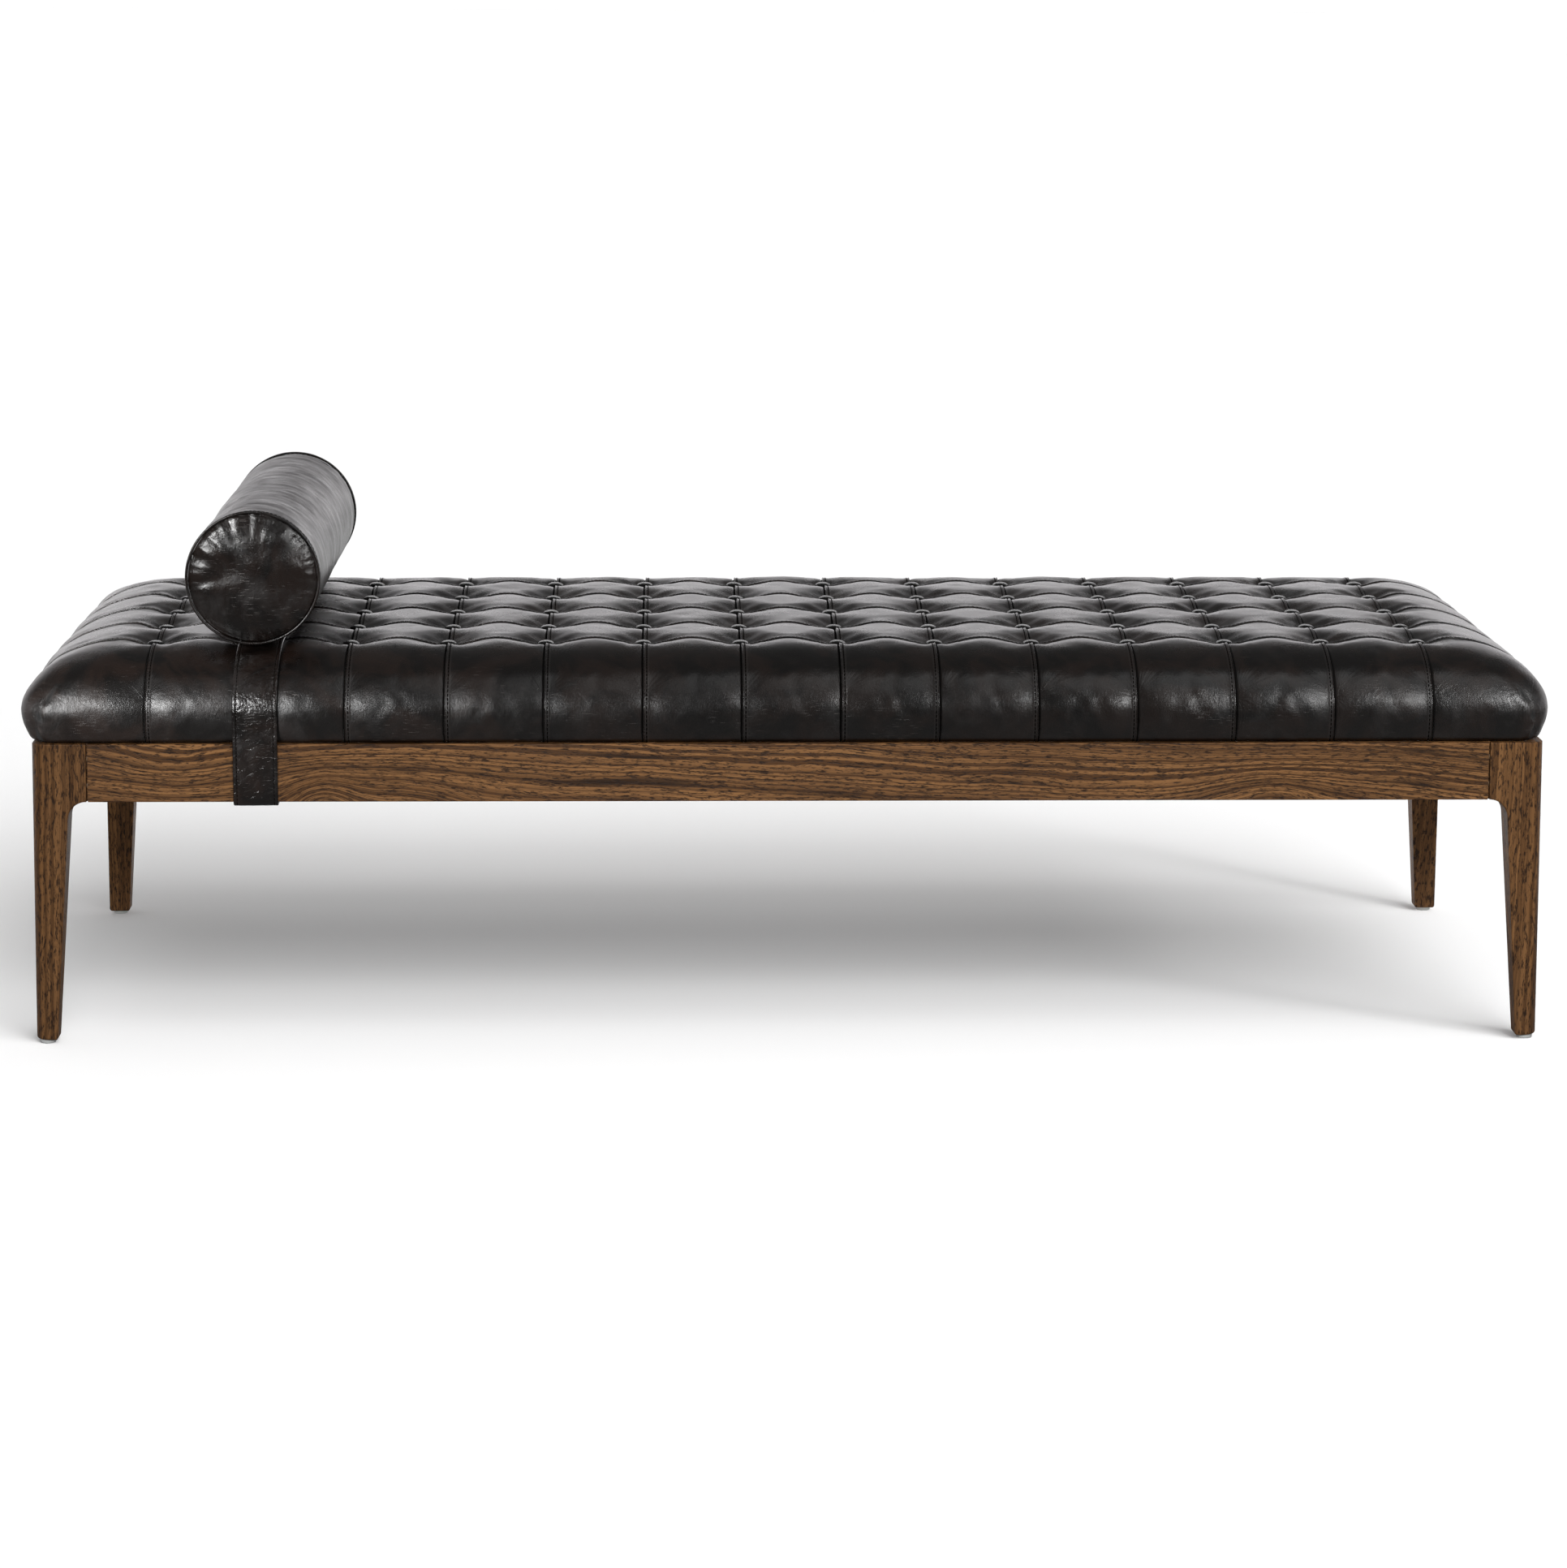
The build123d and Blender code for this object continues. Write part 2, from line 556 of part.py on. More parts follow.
# ---- Strap ----
def strap_line(offset):
    """Half of the strap's side view, from the crown of the seat to under the rail."""
    points = [(0.0, SEAT_TOP + offset)]
    half_y = SEAT_DEPTH / 2
    upper = SEAT_TOP - SEAT_WIDEST
    for index in range(SHOULDER_STEPS, -1, -1):
        angle = pi / 2 * index / SHOULDER_STEPS
        normal = Vector(cos(angle) / SHOULDER_REACH, sin(angle) / upper).normalized()
        y = half_y - SHOULDER_REACH * (1 - cos(angle)) + offset * normal.X
        points.append((y, SEAT_WIDEST + upper * sin(angle) + offset * normal.Y))
    extra = offset - STRAP_CLEARANCE
    under = RAIL_BOTTOM - STRAP_UNDER_GAP - extra
    hang = HALF_DEPTH + STRAP_RAIL_GAP + extra
    points.append((hang, under + STRAP_CORNER))
    points.append((hang - STRAP_CORNER, under))
    points.append((STRAP_END_Y, under))
    return points


def make_strap():
    inner = strap_line(STRAP_CLEARANCE)
    outer = strap_line(STRAP_CLEARANCE + STRAP_THICKNESS)
    loop = outer[::-1] + [(-y, z) for y, z in outer[1:]]
    loop += [(-y, z) for y, z in inner[::-1]] + inner[1:]
    side_plane = Plane(origin=(STRAP_X - STRAP_WIDTH / 2, 0, 0), x_dir=(0, 1, 0), z_dir=(1, 0, 0))
    strap = extrude(side_plane * make_face(Polyline(*loop, close=True)), STRAP_WIDTH)

    web_low = RAIL_BOTTOM - STRAP_UNDER_GAP
    web_top = web_low + WEB_THICKNESS
    half_web = WEB_WIDTH / 2
    web = block((STRAP_X - half_web, -WEB_END_Y, web_low), (STRAP_X + half_web, WEB_END_Y, web_top))
    cap_low = web_low - STRAP_THICKNESS - SNAP_CAP_THICKNESS
    snaps = []
    for face in FACES.values():
        for place in SNAP_PLACES:
            y = face * place
            cap_base = (STRAP_X, y, cap_low)
            cap_top = (STRAP_X, y, cap_low + SNAP_CAP_THICKNESS)
            post_top = (STRAP_X, y, web_top)
            socket_top = (STRAP_X, y, web_top + SNAP_CAP_THICKNESS)
            hole = rod(cap_base, socket_top, SNAP_POST_RADIUS + GLUE_GAP)
            strap -= hole
            web -= hole
            snap = rod(cap_base, cap_top, SNAP_CAP_RADIUS)
            snap += rod(cap_base, post_top, SNAP_POST_RADIUS)
            snap += rod(post_top, socket_top, SNAP_CAP_RADIUS)
            snaps.append(snap)
    parts["strap_upper"] = strap
    parts["strap_under_web"] = web
    parts["strap_snaps"] = Compound(snaps)


make_legs()
make_glides()
make_rails()
make_ledgers()
make_cross_rails()
make_seat()
make_tufting()
make_staples()
make_bolster()
make_strap()

os.makedirs("parts", exist_ok=True)
for node, shape in parts.items():
    export_step(shape, f"parts/{node}.step")
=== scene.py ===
from math import cos, pi, radians, sin

import bmesh
import bpy
import numpy as np
from mathutils import Matrix, Vector


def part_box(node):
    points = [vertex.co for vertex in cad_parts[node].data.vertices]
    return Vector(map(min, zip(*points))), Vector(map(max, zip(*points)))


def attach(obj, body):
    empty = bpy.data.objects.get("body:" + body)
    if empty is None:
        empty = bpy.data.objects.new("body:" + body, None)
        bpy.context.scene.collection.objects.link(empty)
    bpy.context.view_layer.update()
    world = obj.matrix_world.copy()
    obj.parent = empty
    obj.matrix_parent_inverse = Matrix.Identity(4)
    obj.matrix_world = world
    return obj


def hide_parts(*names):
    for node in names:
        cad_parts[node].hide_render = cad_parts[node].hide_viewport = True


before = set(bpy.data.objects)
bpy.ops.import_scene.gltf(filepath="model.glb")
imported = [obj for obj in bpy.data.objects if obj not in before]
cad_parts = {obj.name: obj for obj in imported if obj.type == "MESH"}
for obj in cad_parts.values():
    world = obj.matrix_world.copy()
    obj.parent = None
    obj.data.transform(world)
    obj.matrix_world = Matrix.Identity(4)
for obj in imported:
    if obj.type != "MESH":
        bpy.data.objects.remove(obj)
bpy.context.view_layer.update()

# ---- Sizes in metres, from the frame where it has them ----
seat_low, seat_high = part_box("seat_cover")
cloth_low, cloth_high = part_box("dust_cover")
strap_low, strap_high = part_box("strap_upper")
web_low, web_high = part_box("strap_under_web")
tube_low, tube_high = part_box("bolster_cover")
cap_low, cap_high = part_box("bolster_cap_front")
rail_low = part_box("rail_front")[0]

HALF_X = seat_high[0]
HALF_Y = seat_high[1]
SEAT_BOTTOM = seat_low[2]
SEAT_TOP = seat_high[2]
SEAT_WIDEST = 0.433
SHOULDER = 0.125
TUCK = 0.016
CORNER = 0.040
CORNER_GROWTH = 0.020
CORNER_TUCK = 0.7
FLANGE = 0.032
GRID_INSET = 0.040

PITCH = 0.127
COLUMNS = 14
ROWS = 5
LAST_COLUMN = (COLUMNS - 1) / 2 * PITCH
LAST_ROW = (ROWS - 1) / 2 * PITCH
STITCH_OFFSET = 0.0050
RIGHT_STITCHED = 8
FREE_X = LAST_COLUMN + 0.012
FREE_Y = LAST_ROW + 0.009


# ---- Small helpers ----
def smooth(low, high, value):
    """Rises smoothly from 0 at low to 1 at high."""
    share = np.clip((np.asarray(value, dtype=float) - low) / (high - low), 0.0, 1.0)
    return share * share * (3.0 - 2.0 * share)


def new_mesh_object(name, points, faces, material=None):
    mesh = bpy.data.meshes.new(name)
    mesh.from_pydata([tuple(p) for p in points], [], faces)
    mesh.validate()
    mesh.polygons.foreach_set("use_smooth", [True] * len(mesh.polygons))
    thing = bpy.data.objects.new(name, mesh)
    bpy.context.scene.collection.objects.link(thing)
    if material:
        mesh.materials.append(material)
    return thing


def outward(thing):
    """Merges doubles and turns every face outwards."""
    work = bmesh.new()
    work.from_mesh(thing.data)
    bmesh.ops.remove_doubles(work, verts=work.verts, dist=1e-6)
    bmesh.ops.recalc_face_normals(work, faces=work.faces)
    work.to_mesh(thing.data)
    work.free()
    return thing


def waves(points, scale, seed, octaves=3):
    """Smooth noise between about -1 and 1, made of turned sine waves, the same every run."""
    draw = np.random.default_rng(seed)
    total = np.zeros(len(points))
    weight = 0.0
    for octave in range(octaves):
        for _ in range(6):
            direction = draw.normal(size=3)
            direction *= 2.0**octave * 2.0 * pi / scale / np.linalg.norm(direction)
            total += np.sin(points @ direction + draw.uniform(0, 2 * pi)) * 0.5**octave
        weight += 0.5**octave
    return total / weight / 2.4


# ---- Shader node helpers ----
def add(tree, kind, **settings):
    node = tree.nodes.new(kind)
    for key, value in settings.items():
        setattr(node, key, value)
    return node


def wire(tree, source, target):
    tree.links.new(source, target)


def feed(tree, socket, value):
    """Gives a socket a fixed value, or a link when the value is another node's output."""
    if isinstance(value, (int, float, tuple)):
        socket.default_value = value
    else:
        wire(tree, value, socket)


def fill(tree, node, **values):
    """Feeds a node's inputs by name, with underscores for their spaces."""
    for key, value in values.items():
        feed(tree, node.inputs[key.replace("_", " ")], value)


def apart(tree, vector):
    """The three coordinates of a vector."""
    split = add(tree, "ShaderNodeSeparateXYZ")
    wire(tree, vector, split.inputs[0])
    return split.outputs


def together(tree, *coordinates):
    """A vector from two or three coordinates."""
    join = add(tree, "ShaderNodeCombineXYZ")
    for socket, value in zip(join.inputs, coordinates):
        wire(tree, value, socket)
    return join.outputs[0]


def length(tree, vector):
    measure = add(tree, "ShaderNodeVectorMath", operation="LENGTH")
    wire(tree, vector, measure.inputs[0])
    return measure.outputs["Value"]


def maths(tree, operation, first, second=None):
    node = add(tree, "ShaderNodeMath", operation=operation)
    feed(tree, node.inputs[0], first)
    if second is not None:
        feed(tree, node.inputs[1], second)
    return node.outputs[0]


def noise(tree, vector, scale, detail=4.0, roughness=0.55, distortion=0.0):
    node = add(tree, "ShaderNodeTexNoise")
    fill(tree, node, Vector=vector, Scale=scale, Detail=detail, Roughness=roughness, Distortion=distortion)
    return node.outputs["Fac"]


def remap(tree, value, low, high, out_low=0.0, out_high=1.0, kind="SMOOTHSTEP"):
    node = add(tree, "ShaderNodeMapRange", interpolation_type=kind)
    for socket, number in zip(node.inputs[:5], (value, low, high, out_low, out_high)):
        feed(tree, socket, number)
    return node.outputs["Result"]


def stretched(tree, vector, scale=(1, 1, 1), place=(0, 0, 0), turn=(0, 0, 0)):
    node = add(tree, "ShaderNodeMapping")
    fill(tree, node, Vector=vector, Scale=scale, Location=place, Rotation=turn)
    return node.outputs["Vector"]


def mixed(tree, factor, first, second):
    node = add(tree, "ShaderNodeMix", data_type="RGBA")
    feed(tree, node.inputs[0], factor)
    for socket, colour in ((node.inputs[6], first), (node.inputs[7], second)):
        feed(tree, socket, (*colour, 1.0) if isinstance(colour, tuple) else colour)
    return node.outputs[2]


def bumped(tree, height, strength, distance, under=None):
    node = add(tree, "ShaderNodeBump")
    fill(tree, node, Height=height, Strength=strength, Distance=distance)
    if under is not None:
        wire(tree, under, node.inputs["Normal"])
    return node.outputs["Normal"]


def group(name, inputs, outputs, kind_of_tree="ShaderNodeTree"):
    """A node group with named inputs (name, kind, value) and outputs (name, kind)."""
    tree = bpy.data.node_groups.new(name, kind_of_tree)
    for label, kind, value in inputs:
        socket = tree.interface.new_socket(name=label, in_out="INPUT", socket_type=kind)
        if value is not None:
            socket.default_value = value
    for label, kind in outputs:
        tree.interface.new_socket(name=label, in_out="OUTPUT", socket_type=kind)
    entry = add(tree, "NodeGroupInput")
    leave = add(tree, "NodeGroupOutput")
    return tree, entry.outputs, leave.inputs


def placed_group(tree, shared, vector, **values):
    node = add(tree, "ShaderNodeGroup", node_tree=shared)
    fill(tree, node, Vector=vector, **values)
    return node


def new_material(name):
    """A material with its Principled shader and its Object coordinates."""
    material = bpy.data.materials.new(name)
    material.use_nodes = True
    tree = material.node_tree
    shader = tree.nodes["Principled BSDF"]
    where = add(tree, "ShaderNodeTexCoord")
    return material, tree, shader, where.outputs["Object"]


def far_out(tree, across, along):
    """Distance from the axis of a place with these two coordinates."""
    squares = [maths(tree, "MULTIPLY", side, side) for side in (across, along)]
    return maths(tree, "SQRT", maths(tree, "ADD", *squares))


# ---- Shared patterns ----
def walnut_figure():
    """Boards sawn from a tree: uneven rings that wander along the grain, pores and streaks.

    The grain runs along the vector's X. Pith is the tree's middle: its height below the board's
    face changes along the board, which tilts the rings. Lift moves them up where a branch grew.
    """
    number = "NodeSocketFloat"
    tree, inn, out = group(
        "walnut figure",
        (
            ("Vector", "NodeSocketVector", None),
            ("Ring spacing", number, 0.006),
            ("Pith tilt", number, 0.06),
            ("Pith offset", number, 0.05),
            ("Wander", number, 0.012),
            ("Streaks", number, 0.6),
            ("Lift", number, 0.0),
        ),
        tuple((label, number) for label in ("Rings", "Lines", "Streak", "Pores", "Blotch")),
    )
    vector = inn["Vector"]
    along, across, depth = apart(tree, vector)
    slow = noise(tree, stretched(tree, vector, (1.6, 6, 6)), 1.0, 2.0, 0.5)
    fast = noise(tree, stretched(tree, vector, (9, 26, 26)), 1.0, 3.0, 0.6)
    drift = maths(tree, "MULTIPLY", maths(tree, "SUBTRACT", slow, 0.5), inn["Wander"])
    drift = maths(tree, "MULTIPLY", drift, 4.0)
    ripple = maths(tree, "MULTIPLY", maths(tree, "SUBTRACT", fast, 0.5), inn["Wander"])
    shifted = maths(tree, "ADD", across, maths(tree, "ADD", drift, ripple))
    pith = maths(tree, "ADD", maths(tree, "MULTIPLY", along, inn["Pith tilt"]), inn["Pith offset"])
    deep = maths(tree, "ADD", depth, maths(tree, "ADD", pith, maths(tree, "ADD", drift, ripple)))
    deep = maths(tree, "SUBTRACT", deep, inn["Lift"])
    turns = maths(tree, "DIVIDE", far_out(tree, shifted, deep), inn["Ring spacing"])

    def ring_noise(scale, detail, roughness):
        node = add(tree, "ShaderNodeTexNoise", noise_dimensions="1D")
        place = maths(tree, "MULTIPLY", turns, scale)
        fill(tree, node, W=place, Scale=1.0, Detail=detail, Roughness=roughness)
        return node.outputs["Fac"]

    wire(tree, remap(tree, ring_noise(0.9, 3.0, 0.6), 0.38, 0.62), out["Rings"])
    wire(tree, remap(tree, ring_noise(4.2, 2.0, 0.6), 0.51, 0.68), out["Lines"])
    band = together(tree, maths(tree, "MULTIPLY", along, 3.0), maths(tree, "MULTIPLY", turns, 0.30))
    dark_band = remap(tree, noise(tree, band, 1.0, 3.0, 0.6, 0.3), 0.56, 0.72)
    wire(tree, maths(tree, "MULTIPLY", dark_band, inn["Streaks"]), out["Streak"])
    stretches = ((along, 80.0), (turns, 3.2), (across, 300.0))
    fleck = together(tree, *(maths(tree, "MULTIPLY", *stretch) for stretch in stretches))
    wire(tree, remap(tree, noise(tree, fleck, 1.0, 3.0, 0.7), 0.48, 0.63), out["Pores"])
    blotch = noise(tree, stretched(tree, vector, (5, 16, 16), (9.0, 1.0, 4.0)), 1.0, 3.0, 0.5)
    wire(tree, blotch, out["Blotch"])
    return tree


def leather_surface():
    """Smooth waxed leather: fine pores, short crossing creases, scratches and cloudy patches.

    The creases run along the vector's Z, so the vector is laid with Z down the hide.
    """
    number = "NodeSocketFloat"
    tree, inn, out = group(
        "leather surface",
        (
            ("Vector", "NodeSocketVector", None),
            ("Pore size", number, 0.0011),
            ("Crease width", number, 0.0027),
            ("Crease length", number, 0.014),
            ("Patch size", number, 0.07),
        ),
        tuple((label, number) for label in ("Pores", "Creases", "Scratches", "Patches", "Wear")),
    )
    vector = inn["Vector"]

    def per_metre(name):
        return maths(tree, "DIVIDE", 1.0, inn[name])

    wander = add(tree, "ShaderNodeTexNoise")
    fill(tree, wander, Vector=vector, Scale=45.0, Detail=3.0)
    bent = add(tree, "ShaderNodeVectorMath", operation="MULTIPLY_ADD")
    wire(tree, wander.outputs["Color"], bent.inputs[0])
    bent.inputs[1].default_value = (0.014, 0.014, 0.014)
    wire(tree, vector, bent.inputs[2])
    cells = add(tree, "ShaderNodeTexVoronoi", feature="DISTANCE_TO_EDGE")
    fill(tree, cells, Vector=bent.outputs[0], Scale=per_metre("Pore size"))
    wire(tree, remap(tree, cells.outputs["Distance"], 0.0, 0.15), out["Pores"])

    wide = per_metre("Crease width")
    laid = stretched(tree, bent.outputs[0], together(tree, wide, wide, per_metre("Crease length")))
    fibres = noise(tree, laid, 1.0, 3.0, 0.6, 0.6)
    wire(tree, fibres, out["Creases"])

    scratches = None
    for turn, place in ((0.35, 0.0), (-0.6, 3.0), (1.15, 7.0)):
        turned = (turn * 0.6, turn, turn * 0.8)
        hair_lines = stretched(tree, vector, (60, 60, 1100), (place, place, place), turned)
        hair = noise(tree, hair_lines, 1.0, 1.0, 0.4, 0.25)
        line = remap(tree, hair, 0.70, 0.80)
        scratches = line if scratches is None else maths(tree, "MAXIMUM", scratches, line)
    gate = remap(tree, noise(tree, vector, 13.0, 2.0), 0.48, 0.64)
    wire(tree, maths(tree, "MULTIPLY", scratches, gate), out["Scratches"])
    wire(tree, noise(tree, vector, per_metre("Patch size"), 4.0, 0.6, 0.8), out["Patches"])
    wire(tree, noise(tree, vector, 22.0, 5.0, 0.65, 0.5), out["Wear"])
    return tree


WALNUT = walnut_figure()
HIDE = leather_surface()


# ---- Materials ----
def branch_lift(tree, where, branches):
    """How far the rings rise over each (place, size, height) of a branch or a bent trunk."""
    total = None
    for place, size, height in branches:
        scale = tuple(1 / side for side in size)
        near = stretched(tree, where, scale, tuple(-spot / side for spot, side in zip(place, size)))
        fall = maths(tree, "MULTIPLY", maths(tree, "POWER", length(tree, near), 2.0), -1.0)
        rise = maths(tree, "MULTIPLY", maths(tree, "EXPONENT", fall), height)
        total = rise if total is None else maths(tree, "ADD", total, rise)
    return total


def walnut(
    name, turn, place, rings, tilt, offset, wander, streaks, lines=0.68, warmth=1.0, branches=(), figured=1.0
):
    """Brown stained wood. turn and place lay the board's grain on the piece.

    lines is how dark the fine growth lines are; they are darker still at the branches. figured
    is how strongly the broad rings show.
    """
    material, tree, shader, where = new_material(name)
    laid = stretched(tree, where, (1, 1, 1), place, turn)
    board = {"Ring_spacing": rings, "Pith_tilt": tilt, "Pith_offset": offset}
    figure = placed_group(tree, WALNUT, laid, **board, Wander=wander, Streaks=streaks)
    lined = lines
    if branches:
        lift = branch_lift(tree, where, branches)
        wire(tree, lift, figure.inputs["Lift"])
        lined = remap(tree, lift, 0.004, 0.018, lines, 0.95)
    pale = (0.490 * warmth, 0.236 * warmth, 0.087 * warmth)
    brown = (0.095 * warmth, 0.040 * warmth, 0.014 * warmth)
    dark = (0.026, 0.013, 0.0075)
    rings_shown = remap(tree, figure.outputs["Rings"], 0, 1, 0.5 - figured / 2, 0.5 + figured / 2, "LINEAR")
    base = mixed(tree, rings_shown, pale, brown)
    tone = remap(tree, figure.outputs["Blotch"], 0.3, 0.7, 0.0, 0.35)
    base = mixed(tree, tone, base, (0.128 * warmth, 0.061 * warmth, 0.027 * warmth))
    base = mixed(tree, maths(tree, "MULTIPLY", figure.outputs["Lines"], lined), base, dark)
    base = mixed(tree, figure.outputs["Streak"], base, dark)
    pores = maths(tree, "MULTIPLY", figure.outputs["Pores"], 0.9)
    base = mixed(tree, pores, base, dark)
    rough = remap(tree, figure.outputs["Rings"], 0.0, 1.0, 0.52, 0.44)
    grain = bumped(tree, figure.outputs["Pores"], 0.4, -0.0005)
    grain = bumped(tree, figure.outputs["Lines"], 0.3, -0.0004, grain)
    fill(tree, shader, Base_Color=base, Roughness=rough, Normal=grain, Specular_IOR_Level=0.22)
    return material


def espresso_leather(name, rubbed, roughness, crease, wrinkle, tufted=False, banded=False):
    """Black-brown waxed leather, greyer and duller where it is rubbed.

    tufted adds the seat's seams, with painted shade in their grooves, stitch holes and corner folds and
    painted highlight on their ridges, and the small folds at its buttons; banded adds the fine lines that
    run round the bolster.
    """
    material, tree, shader, where = new_material(name)
    hide = placed_group(tree, HIDE, where)
    black = (0.0036, 0.0026, 0.0022)
    brown = (0.0135, 0.0078, 0.0058)
    grey = (0.022, 0.0185, 0.0175)
    patches = remap(tree, hide.outputs["Patches"], 0.38, 0.64)
    base = mixed(tree, patches, black, brown)
    wear = maths(tree, "SUBTRACT", hide.outputs["Wear"], 0.5)
    scratches = hide.outputs["Scratches"]
    creases = hide.outputs["Creases"]
    hollows = noise(tree, where, 34.0, 3.0, 0.5)
    wrinkles = noise(tree, where, 125.0, 2.0, 0.5, 0.8)
    if tufted:
        border = remap(tree, apart(tree, where)[2], SEAT_TOP - 0.045, SEAT_TOP - 0.018, 1.0, 0.22)
        marks = (creases, hollows, wrinkles, wear, scratches)
        marks = (maths(tree, "MULTIPLY", mark, border) for mark in marks)
        creases, hollows, wrinkles, wear, scratches = marks
    base = mixed(tree, remap(tree, wear, 0.0, 0.22, 0.0, 0.55 * rubbed), base, grey)
    base = mixed(tree, maths(tree, "MULTIPLY", scratches, 0.6 * rubbed), base, (0.12, 0.105, 0.098))
    rough = remap(tree, wear, -0.15, 0.20, roughness - 0.04, roughness + 0.12, "LINEAR")
    rough = maths(tree, "ADD", rough, maths(tree, "MULTIPLY", scratches, 0.10))
    if tufted:
        rough = maths(tree, "ADD", rough, remap(tree, border, 0.3, 1.0, 0.0, 0.11))
    normal = bumped(tree, hide.outputs["Pores"], 0.14, 0.0002)
    normal = bumped(tree, creases, crease, 0.0007, normal)
    normal = bumped(tree, scratches, 0.5, -0.00020, normal)
    normal = bumped(tree, hollows, 0.38, 0.0012, normal)
    normal = bumped(tree, wrinkles, wrinkle, 0.0009, normal)
    if banded:
        lines = noise(tree, stretched(tree, where, (6, 620, 6)), 1.0, 4.0, 0.7, 0.3)
        base = mixed(tree, remap(tree, lines, 0.45, 0.75, 0.0, 0.8), base, (0.060, 0.052, 0.052))
        rough = maths(tree, "ADD", rough, remap(tree, lines, 0.3, 0.7, -0.06, 0.14))
        normal = bumped(tree, lines, 0.35, 0.0003, normal)
    if tufted:
        normal = bumped(tree, gathers(tree, where), 0.6, 0.0008, normal)
        seam = add(tree, "ShaderNodeAttribute", attribute_name="seam").outputs["Fac"]
        # Painted shade: near-black where the seam attribute marks grooves, stitch holes and the corner fold
        base = mixed(tree, remap(tree, seam, 0.05, 0.75), base, (0.0012, 0.0010, 0.0009))
        # Painted highlight on the seams' ridges and the fold's lip, and lighter rubbed leather on the strips
        base = mixed(tree, remap(tree, seam, -0.1, -0.9, 0.0, 0.55), base, (0.105, 0.092, 0.088))
        rough = maths(tree, "ADD", rough, remap(tree, seam, 0.05, 0.8, 0.0, 0.45))
    fill(tree, shader, Base_Color=base, Roughness=rough, Normal=normal, Specular_IOR_Level=0.65)
    return material


def gathers(tree, where):
    """Small folds that run out from each button."""
    places = apart(tree, where)
    above_zero = 20 * PITCH

    def from_button(axis, half):
        shifted = maths(tree, "ADD", places[axis], half + PITCH / 2 + above_zero)
        return maths(tree, "SUBTRACT", maths(tree, "MODULO", shifted, PITCH), PITCH / 2)

    across = from_button(0, LAST_COLUMN)
    along = from_button(1, LAST_ROW)
    distance = far_out(tree, across, along)
    angle = maths(tree, "ARCTAN2", along, across)
    around = [maths(tree, "MULTIPLY", maths(tree, turn, angle), 3.4) for turn in ("COSINE", "SINE")]
    cell = noise(tree, stretched(tree, where, (3, 3, 3)), 1.0, 1.0)
    further = maths(tree, "MULTIPLY", distance, 6.0)
    further = maths(tree, "ADD", further, maths(tree, "MULTIPLY", cell, 9.0))
    folds = noise(tree, together(tree, *around, further), 2.6, 2.0, 0.5)
    near = remap(tree, distance, 0.014, 0.056, 1.0, 0.0)
    return maths(tree, "MULTIPLY", folds, near)


def thread_black(name):
    material, tree, shader, where = new_material(name)
    twist = noise(tree, stretched(tree, where, (900, 900, 900)), 1.0, 2.0)
    base = mixed(tree, twist, (0.0015, 0.0013, 0.0012), (0.009, 0.007, 0.006))
    fill(tree, shader, Base_Color=base, Roughness=0.7, Specular_IOR_Level=0.0)
    return material


def woven(name, first, second, threads_per_metre, roughness=0.8):
    """Plain woven cloth or webbing, over and under in both directions."""
    material, tree, shader, where = new_material(name)
    cycle = threads_per_metre * pi
    turns = [maths(tree, "MULTIPLY", place, cycle) for place in tuple(apart(tree, where))[:2]]
    weave = maths(tree, "MULTIPLY", *(maths(tree, "SINE", turn) for turn in turns))
    height = remap(tree, weave, -1.0, 1.0)
    fuzz = noise(tree, where, 400.0, 2.0)
    shade = mixed(tree, height, first, second)
    shade = mixed(tree, maths(tree, "MULTIPLY", fuzz, 0.4), shade, second)
    normal = bumped(tree, height, 0.6, 0.0004)
    fill(tree, shader, Base_Color=shade, Roughness=roughness, Sheen_Weight=0.2, Normal=normal)
    return material


def softwood(name, pale, dark, turn):
    material, tree, shader, where = new_material(name)
    laid = stretched(tree, where, (1, 1, 1), (0.3, 0.1, 0.2), turn)
    board = {"Ring_spacing": 0.008, "Pith_tilt": 0.05, "Pith_offset": 0.06}
    figure = placed_group(tree, WALNUT, laid, **board, Wander=0.02, Streaks=0.2)
    base = mixed(tree, figure.outputs["Rings"], pale, dark)
    base = mixed(tree, maths(tree, "MULTIPLY", figure.outputs["Pores"], 0.25), base, dark)
    rough = remap(tree, figure.outputs["Rings"], 0, 1, 0.65, 0.55)
    grain = bumped(tree, figure.outputs["Pores"], 0.3, -0.0003)
    fill(tree, shader, Base_Color=base, Roughness=rough, Normal=grain)
    return material


def metal(name, colour, roughness):
    material, tree, shader, where = new_material(name)
    dull = noise(tree, where, 300.0, 3.0)
    base = mixed(tree, dull, colour, tuple(0.7 * c for c in colour))
    rough = remap(tree, dull, 0.3, 0.7, roughness, roughness + 0.15)
    fill(tree, shader, Base_Color=base, Roughness=rough, Metallic=1.0)
    return material


def white_nylon():
    material, tree, shader, where = new_material("white nylon")
    dull = noise(tree, where, 500.0, 3.0)
    base = mixed(tree, dull, (0.78, 0.78, 0.76), (0.66, 0.66, 0.64))
    normal = bumped(tree, dull, 0.1, 0.0002)
    fill(tree, shader, Base_Color=base, Roughness=0.45, Subsurface_Weight=0.05, Normal=normal)
    return material


# ---- Seat: lines of the grid and its envelope ----
def seam_places(count):
    return [(index - (count - 1) / 2) * PITCH for index in range(count)]


def grid_lines(count, edge, near, step):
    """Positions along one direction: close together at each seam, even between them."""
    lines = set()
    for place in seam_places(count):
        lines.update(round(place + offset, 6) for offset in near)
    seams = [-edge] + seam_places(count) + [edge]
    for left, right in zip(seams[:-1], seams[1:]):
        low = left + (near[-1] if left > -edge else 0.0)
        high = right + (near[0] if right < edge else 0.0)
        steps = max(2, round((high - low) / step))
        lines.update(round(low + (high - low) * index / steps, 6) for index in range(steps + 1))
    return np.array(sorted(lines))


